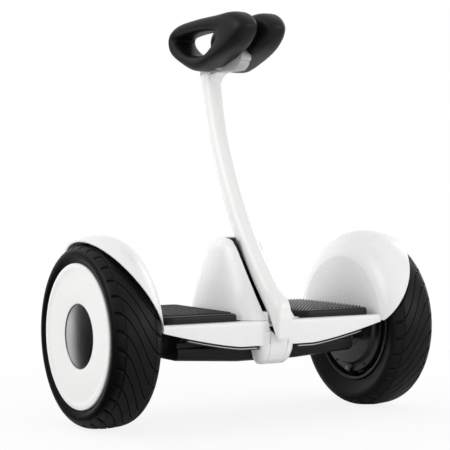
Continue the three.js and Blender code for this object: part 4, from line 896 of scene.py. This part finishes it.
shell = piece("column_dome", *hump_form(0), gloss_abs, "white_plastic", None)
carve(shell, hump_form(HUMP_WALL, HUMP_BASE - PAST_BASE))
carve(shell, skin([rounded_ring(BASE_LOW[:2], BASE_HIGH[:2], BASE_CORNER, z)
                  for z in (BASE_LOW[2], BASE_HIGH[2])]), "UNION")
carve(shell, slot_form(SLOT_LINER + SEAT_GAP, lip=SLOT_LINER + SEAT_GAP))
# Points that the cut left close together are merged, or the rounded edge would fold over them.
near = shell.modifiers.new("near", "WELD")
near.merge_threshold = DOME_WELD * MM
smooth(shell, DOME_CREASE)
break_edges(shell, DOME_BREAK)
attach(shell, "chassis")
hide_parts("column_shell")

# Column insert: the black lining of the slot, a thin ABS channel with a grained, satin skin.
# It is pushed into the dome from below and held by the same screws.
LINING_TOP, LINING_REAR, LINING_BREAK, CUT_LOW, CUT_TOP = 269.3, 40.0, 0.25, 150.0, 275.0
PAST_LINING = 0.1
SET_BACK_ROWS = [(-60.0, 0), (-5.0, 0), (5.0, SET_BACK), (60.0, SET_BACK)]  # across, set back
insert = piece("column_lining", *slot_form(SLOT_LINER, APRON_TOP, LINING_TOP + PAST_LINING),
               satin_abs, "black_plastic", None)
carve(insert, slot_form(0.0, CUT_LOW, CUT_TOP))
profile = [(y, z) for z, y in INSERT_FRONT]
profile += [(LINING_REAR, LINING_TOP), (LINING_REAR, APRON_TOP)]
carve(insert, skin([[(x, min(LINING_REAR, y + back), z) for y, z in profile]
                    for x, back in SET_BACK_ROWS]), "INTERSECT")
smooth(insert, DOME_CREASE)
break_edges(insert, LINING_BREAK, segments=2)
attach(insert, "chassis")
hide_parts("column_insert")

# Apron: the white wall that closes the slot behind the foot, part of the same moulding as the
# dome. Its gloss face is what shows in the gap beside the foot.
APRON_LOW, APRON_WALL, APRON_GAP, PAST_APRON = 141.6, 0.6, 0.3, 3
APRON_ROOM = (-60.0, -104.2, 138.0), (60.0, 40.0, 170.0)
apron = piece("slot_apron", *slot_form(SLOT_LINER, APRON_LOW, APRON_TOP - APRON_GAP),
              gloss_abs, "white_plastic", None)
carve(apron, slot_form(-APRON_WALL, APRON_ROOM[0][2], APRON_TOP + PAST_APRON))
carve(apron, block(*APRON_ROOM), "INTERSECT")
smooth(apron, DOME_CREASE)
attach(apron, "chassis")

# Steering bar: an oval aluminium tube, bent in one sweep and powder coated gloss white.
# It grows a little toward the pads, and a low plug closes its top end.
BAR_RINGS, BAR_POINTS, BAR_JOINT = 96, 64, 0.35
BAR_CROWN = [(0.985, 0.5), (0.94, 1.2), (0.84, 2.0), (0.6, 2.7), (0.3, 3.0)]  # share, lift
# White powder coat: an even gloss with a faint orange peel and no seam.
powder_coat = finish("white_powder_coat", "#F3F3F2", "#F0F0EF", 60.0, 1.6, 0.0015, (0.24, 0.3))


def bar_ring(share, gap=0.0):
    """An oval across the bar, moved up along it by a gap."""
    (y, z), (dy, dz), half, depth = bar_line(share)
    ring = []
    for i in range(BAR_POINTS):
        angle = 2 * math.pi * i / BAR_POINTS
        off = depth * math.cos(angle)
        ring.append((half * math.sin(angle), y + dy * gap - dz * off, z + dz * gap + dy * off))
    return ring


rings = [bar_ring(i / BAR_RINGS, BAR_JOINT if i == 0 else 0.0) for i in range(BAR_RINGS + 1)]
top_y, top_z = BAR_CURVE[-1]
for share, lift in BAR_CROWN:
    rings.append([(x * share, top_y + (y - top_y) * share, top_z + (z - top_z) * share + lift)
                  for x, y, z in rings[BAR_RINGS]])
bar = piece("oval_bar", *skin(rings), powder_coat, "white_plastic", "steering_column")
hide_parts("steering_bar")

# Bar foot: the bar's cast end, powder coated with it, cut off flat in front like a heel.
# It bolts to the steering shaft, and a fine joint shows where the tube meets it.
FOOT_LOW, FOOT_RISE, FOOT_REACH, FOOT_FACET = 126.5, 61.5, 40.0, 11.8
FOOT_RINGS, FOOT_QUARTER, FACET_POINTS, FOOT_CREASE = 40, 16, 5, 24
SHAFT_HOLE, SHAFT_HOLE_FRONT, SHAFT_HOLE_BACK = 11.2, -115.0, -40.0
# Rows up the foot: shares of its reach and rise to its toe and heel, its width and its flat.
FOOT_ROWS = [(0.315, 1.196, -0.315, 0.805, 1.0, 0.0), (0.875, 0.902, -0.075, 0.629, 1.02, 0.34),
             (0.975, 0.592, 0.225, 0.462, 1.02, 0.68), (1, 0.317, 0.475, 0.285, 1.01, 0.87),
             (1, 0.07, 0.725, 0.11, 0.98, 1), (0.97, 0, 0.8, 0.01, 0.84, 0.88)]


def foot_ring(row):
    """A section of the foot from toe to heel, flat in front and round behind."""
    toe_y, toe_z, heel_y, heel_z, wide, flat = row
    toe = (BAR_START[0] - FOOT_REACH * toe_y, FOOT_LOW + FOOT_RISE * toe_z)
    heel = (BAR_START[0] - FOOT_REACH * heel_y, FOOT_LOW + FOOT_RISE * heel_z)
    half, edge = BAR_HALF * wide, flat * FOOT_FACET
    ring = []
    for i in range(4 * FOOT_QUARTER):
        hand = 1 if i <= 2 * FOOT_QUARTER else -1
        k = min(i, 4 * FOOT_QUARTER - i)
        if k <= FACET_POINTS:
            across, forward = edge * k / FACET_POINTS, 1.0
        elif k <= FOOT_QUARTER:
            turn = math.pi / 2 * (k - FACET_POINTS) / (FOOT_QUARTER - FACET_POINTS)
            across, forward = edge + (half - edge) * math.sin(turn), math.cos(turn)
        else:
            turn = math.pi / 2 * k / FOOT_QUARTER
            across, forward = half * math.sin(turn), math.cos(turn)
        share = (1 + forward) / 2
        ring.append((hand * across, heel[0] + share * (toe[0] - heel[0]),
                     heel[1] + share * (toe[1] - heel[1])))
    return ring


rings = [foot_ring(row) for row in smooth_through(FOOT_ROWS, FOOT_RINGS)]
foot = piece("heel_casting", *skin(rings), powder_coat, "white_plastic", None, FOOT_CREASE)
carve(foot, round_bar(SHAFT_HOLE, SHAFT_HOLE_FRONT, SHAFT_HOLE_BACK, PIVOT))
smooth(foot, FOOT_CREASE)
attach(foot, "steering_column")
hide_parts("bar_foot")

# Bar head: a grey aluminium casting between the pads, with wings that carry them. It is pressed
# into the bar's end, where a white collar covers the joint.
HEAD_HALF, HEAD_CREASE, HEAD_MIDDLE = 9.0, 28, (42.0, 534.0)
# Outlines of (depth, height), and the steps (place from a side, inset) that round their edges.
HEAD_ROWS = [
    (104, 516.5), (104, 534), (98, 541), (88, 547), (74, 552), (60, 555), (40, 557), (20, 558),
    (0, 557.5), (-7, 555), (-12, 551), (-17, 547), (-20, 543), (-21, 539), (-19, 535.5),
    (-15, 534), (-15.5, 531.5), (-12, 527), (-8, 524.5), (-2, 521.6), (8, 521), (30, 521.3),
    (50, 520.9), (70, 519.0), (97, 514)]
HEAD_EDGE = [(0.0, 1.2), (0.5, 0.45), (1.4, 0.0)]
COLLAR_ROWS = [(74, 496), (69.5, 503), (66, 509), (61, 514.5), (54, 518.4), (46, 520.6),
               (46, 521.4), (92, 521.4), (92, 500)]
COLLAR_EDGE, COLLAR_LEAN, COLLAR_TOP = [(0.0, 0.8), (0.8, 0.0)], 0.7, 521
WING_LOW, WING_HIGH, WING_CORNER = (-24.0, 30.0, 525.0), (24.0, 78.0, 534.6), 8.0
# Blasted aluminium: a pale mottled grey that scatters light and hardly shines.
blasted_casting = finish("blasted_casting", "#C6C6C7", "#A9A9AA", 2.4, 0.8, 0.14, (0.42, 0.55),
                         metallic=0.25)


def across_head(edge):
    """Places across the head with their insets, from its left side to its right."""
    left = [(-HEAD_HALF + step, inset) for step, inset in edge]
    return left + [(-x, inset) for x, inset in reversed(left)]


rings = []
for x, inset in across_head(HEAD_EDGE):
    ring = []
    for y, z in HEAD_ROWS:
        off_y, off_z = y - HEAD_MIDDLE[0], z - HEAD_MIDDLE[1]
        reach = math.hypot(off_y, off_z)
        keep = (reach - inset) / reach
        ring.append((x, HEAD_MIDDLE[0] + off_y * keep, HEAD_MIDDLE[1] + off_z * keep))
    rings.append(ring)
collar_rings = [[(x, y + inset * COLLAR_LEAN, z + (inset if z < COLLAR_TOP else 0))
                 for y, z in COLLAR_ROWS] for x, inset in across_head(COLLAR_EDGE)]
piece("bar_collar", *skin(collar_rings), powder_coat, "white_plastic", "steering_column")
head = piece("head_casting", *skin(rings), blasted_casting, "cast_aluminium", None, HEAD_CREASE)
carve(head, skin([rounded_ring(WING_LOW[:2], WING_HIGH[:2], WING_CORNER, z)
                  for z in (WING_LOW[2], WING_HIGH[2])]), "UNION")
smooth(head, HEAD_CREASE)
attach(head, "steering_column")
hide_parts("bar_head")

# Knee pads: loops of self skinned polyurethane foam over a steel core. Each is one closed
# moulding, thickest at the front and pressed on the head's wings.
KNEE_LENGTH, KNEE_HEIGHT, KNEE_BOTTOM, KNEE_NOSE = 199.6, 83.5, 521.5, 25.0
KNEE_DEPTH, KNEE_FRONT_DEPTH, KNEE_SPLAY = 22.3, 20.9, math.radians(2.4)
KNEE_X, KNEE_Y, KNEE_POWER, KNEE_RINGS, KNEE_POINTS = 24.9, -45.0, 2.9, 120, 48
# Behind this place a tail is drawn in to a share of its length and spread outward.
KNEE_TAIL, TAIL_SHARE, TAIL_SPREAD = 85.0, {"left": 1.0, "right": 0.86}, {"left": 0.0, "right": 8.0}
# Rows round the loop: shares of its length and height, on its outer and then its inner edge.
KNEE_ROWS = [
    (0, 0.788, 0.38, 0.565), (0.13, 0.988, 0.361, 0.638), (0.35, 0.978, 0.452, 0.693),
    (0.632, 0.952, 0.629, 0.701), (0.878, 0.883, 0.805, 0.671), (1, 0.691, 0.896, 0.629),
    (0.987, 0.394, 0.866, 0.502), (0.832, 0.166, 0.747, 0.34), (0.63, 0.005, 0.604, 0.291),
    (0.388, 0.139, 0.508, 0.297), (0.155, 0.338, 0.441, 0.398), (0.021, 0.57, 0.411, 0.48)]


def loop_through(rows, count):
    """Points on a closed curve through rows of numbers."""
    out = []
    for i in range(count):
        place = i / count * len(rows)
        k = int(place)
        out.append(between([rows[(k + j) % len(rows)] for j in (-1, 0, 1, 2)], place - k))
    return out


def knee_spot(back, up):
    """A point in a loop's upright plane, from shares of its length and height."""
    return Vector((back * KNEE_LENGTH - KNEE_NOSE, 0, KNEE_BOTTOM + up * KNEE_HEIGHT))


# Foam skin: black, soft looking and matt, with a faint grain and a weak broad sheen.
foam_skin = finish("foam_skin", "#131313", "#0F0F0F", 40.0, 0.9, 0.04, (0.38, 0.48), specular=0.18)
for hand, side in SIDES:
    rings = []
    for far_back, far_up, near_back, near_up in loop_through(KNEE_ROWS, KNEE_RINGS):
        far, near = knee_spot(far_back, far_up), knee_spot(near_back, near_up)
        middle, half = (far + near) / 2, (far - near) / 2
        front_share = max(0.0, 1 - (middle.x + KNEE_NOSE) / (KNEE_LENGTH / 2))
        depth = KNEE_DEPTH + (KNEE_FRONT_DEPTH - KNEE_DEPTH) * front_share
        ring = []
        for j in range(KNEE_POINTS):
            angle = 2 * math.pi * (j + 0.5) / KNEE_POINTS
            back = middle.x + half.x * bend(math.cos(angle), KNEE_POWER)
            back = min(back, KNEE_TAIL) + max(0.0, back - KNEE_TAIL) * TAIL_SHARE[side]
            up = middle.z + half.z * bend(math.cos(angle), KNEE_POWER)
            out = depth * bend(math.sin(angle), KNEE_POWER)
            behind = max(0.0, back - KNEE_TAIL) / (KNEE_LENGTH - KNEE_NOSE - KNEE_TAIL)
            spread = TAIL_SPREAD[side] * behind
            x = KNEE_X + spread + back * math.sin(KNEE_SPLAY) + out * math.cos(KNEE_SPLAY)
            y = KNEE_Y + back * math.cos(KNEE_SPLAY) - out * math.sin(KNEE_SPLAY)
            ring.append((hand * x, y, up))
        rings.append(ring)
    pad = piece(f"knee_loop_{side}", *skin(rings, closed=True), foam_skin, "soft_skin",
                "steering_column", crease=60)
    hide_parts(f"knee_pad_{side}")

# Studio: a white floor that fades into a white background, and four soft lights, the strongest
# behind on the left. Metal and glass see the same background as the camera.
WHITE, FLOOR_PAINT, FLOOR_HALF, ROOM_LIGHT = (1, 1, 1, 1), (0.9, 0.9, 0.9, 1), 6, 0.71
FADE_START, FADE_END, FADE_LOW = 0.3, 1.1, 0.86  # distances, and the share of white at the first
floor_material = bpy.data.materials.new("studio_floor")
floor_material.use_nodes = True
tree = floor_material.node_tree
tree.nodes.clear()
rays = add_node(tree, "ShaderNodeLightPath")
white = add_node(tree, "ShaderNodeEmission", {"Color": WHITE, "Strength": 1.0})
paint = add_node(tree, "ShaderNodeBsdfDiffuse", {"Color": FLOOR_PAINT})
spot = add_node(tree, "ShaderNodeTexCoord").outputs["Object"]
away = add_node(tree, "ShaderNodeVectorMath", {0: spot}, operation="LENGTH")
fade = add_node(tree, "ShaderNodeMapRange", {
    "Value": away.outputs["Value"], "From Min": FADE_START, "From Max": FADE_END,
    "To Min": FADE_LOW, "To Max": 1.0})
share = add_node(tree, "ShaderNodeMath", {
    0: rays.outputs["Is Camera Ray"], 1: fade.outputs["Result"]}, operation="MULTIPLY")
mixed = add_node(tree, "ShaderNodeMixShader", {
    "Fac": share.outputs[0], 1: paint.outputs[0], 2: white.outputs[0]})
add_node(tree, "ShaderNodeOutputMaterial", {"Surface": mixed.outputs[0]})
floor_mesh = bpy.data.meshes.new("studio_floor")
floor_mesh.from_pydata([(x * FLOOR_HALF, y * FLOOR_HALF, 0)
                        for x, y in ((-1, -1), (1, -1), (1, 1), (-1, 1))], [], [(0, 1, 2, 3)])
floor_mesh.materials.append(floor_material)
floor = bpy.data.objects.new("studio_floor", floor_mesh)
bpy.context.scene.collection.objects.link(floor)

world = bpy.data.worlds.new("studio")
bpy.context.scene.world = world
world.use_nodes = True
tree = world.node_tree
tree.nodes.clear()
rays = add_node(tree, "ShaderNodeLightPath")
seen = rays.outputs["Is Camera Ray"]
for kind in ("Is Transmission Ray", "Is Glossy Ray"):
    seen = add_node(tree, "ShaderNodeMath", {0: seen, 1: rays.outputs[kind]},
                    operation="MAXIMUM").outputs[0]
room = add_node(tree, "ShaderNodeBackground", {"Color": WHITE, "Strength": ROOM_LIGHT})
backdrop = add_node(tree, "ShaderNodeBackground", {"Color": WHITE, "Strength": 1.0})
mixed = add_node(tree, "ShaderNodeMixShader", {
    "Fac": seen, 1: room.outputs[0], 2: backdrop.outputs[0]})
add_node(tree, "ShaderNodeOutputWorld", {"Surface": mixed.outputs[0]})


def softbox(name, place, target, width, height, watts, in_gloss=True):
    """A soft rectangular lamp aimed at a point, in metres and watts."""
    data = bpy.data.lights.new(name, "AREA")
    data.shape = "RECTANGLE"
    data.size, data.size_y, data.energy = width, height, watts
    lamp = bpy.data.objects.new(name, data)
    lamp.location = place
    lamp.visible_glossy = in_gloss
    lamp.rotation_mode = "QUATERNION"
    lamp.rotation_quaternion = (Vector(target) - Vector(place)).to_track_quat("-Z", "Y")
    bpy.context.scene.collection.objects.link(lamp)


# Each light's place, aim, width, height and watts. The strongest one isn't seen in reflections,
# or the hub cap would show it as a white patch.
softbox("key_light", (-1.4, 2.95, 0.85), (-0.2, 0, 0.2), 1.1, 1.7, 21, in_gloss=False)
softbox("side_light", (-2.3, 0.4, 1.25), (0, 0, 0.3), 1.1, 1.5, 18)
softbox("front_light", (1.3, -2.2, 0.95), (0, 0, 0.3), 1.0, 1.0, 14)
softbox("rim_light", (2.0, 0.6, 1.1), (0, 0, 0.3), 1.0, 1.4, 8)

# Dark screen: a black cloth that stands on the left and lies along the near wheel. It is seen
# only in reflections, throws no shadow, and gives the hub cap and the gloss their dark shapes.
SCREEN_POINTS = [(-0.285, -0.5, 0.004), (-0.285, 0.1, 0.004), (-0.9, -0.6, 0.004),
                 (-0.9, 1.55, 0.004), (-0.9, -0.6, 0.42), (-0.9, 0.5, 0.46), (-0.9, 2.3, 1.0)]
SCREEN_FACES = [(0, 1, 3, 2), (2, 3, 6, 5, 4)]
screen_cloth = bpy.data.materials.new("black_cloth")
screen_cloth.use_nodes = True
cloth_shader = screen_cloth.node_tree.nodes["Principled BSDF"]
cloth_shader.inputs["Base Color"].default_value = linear("#050505")
cloth_shader.inputs["Specular IOR Level"].default_value = 0.0
screen_mesh = bpy.data.meshes.new("dark_screen")
screen_mesh.from_pydata(SCREEN_POINTS, [], SCREEN_FACES)
screen_mesh.materials.append(screen_cloth)
screen = bpy.data.objects.new("dark_screen", screen_mesh)
screen.visible_camera = screen.visible_diffuse = screen.visible_shadow = False
bpy.context.scene.collection.objects.link(screen)
bpy.context.scene.view_settings.view_transform = "Standard"
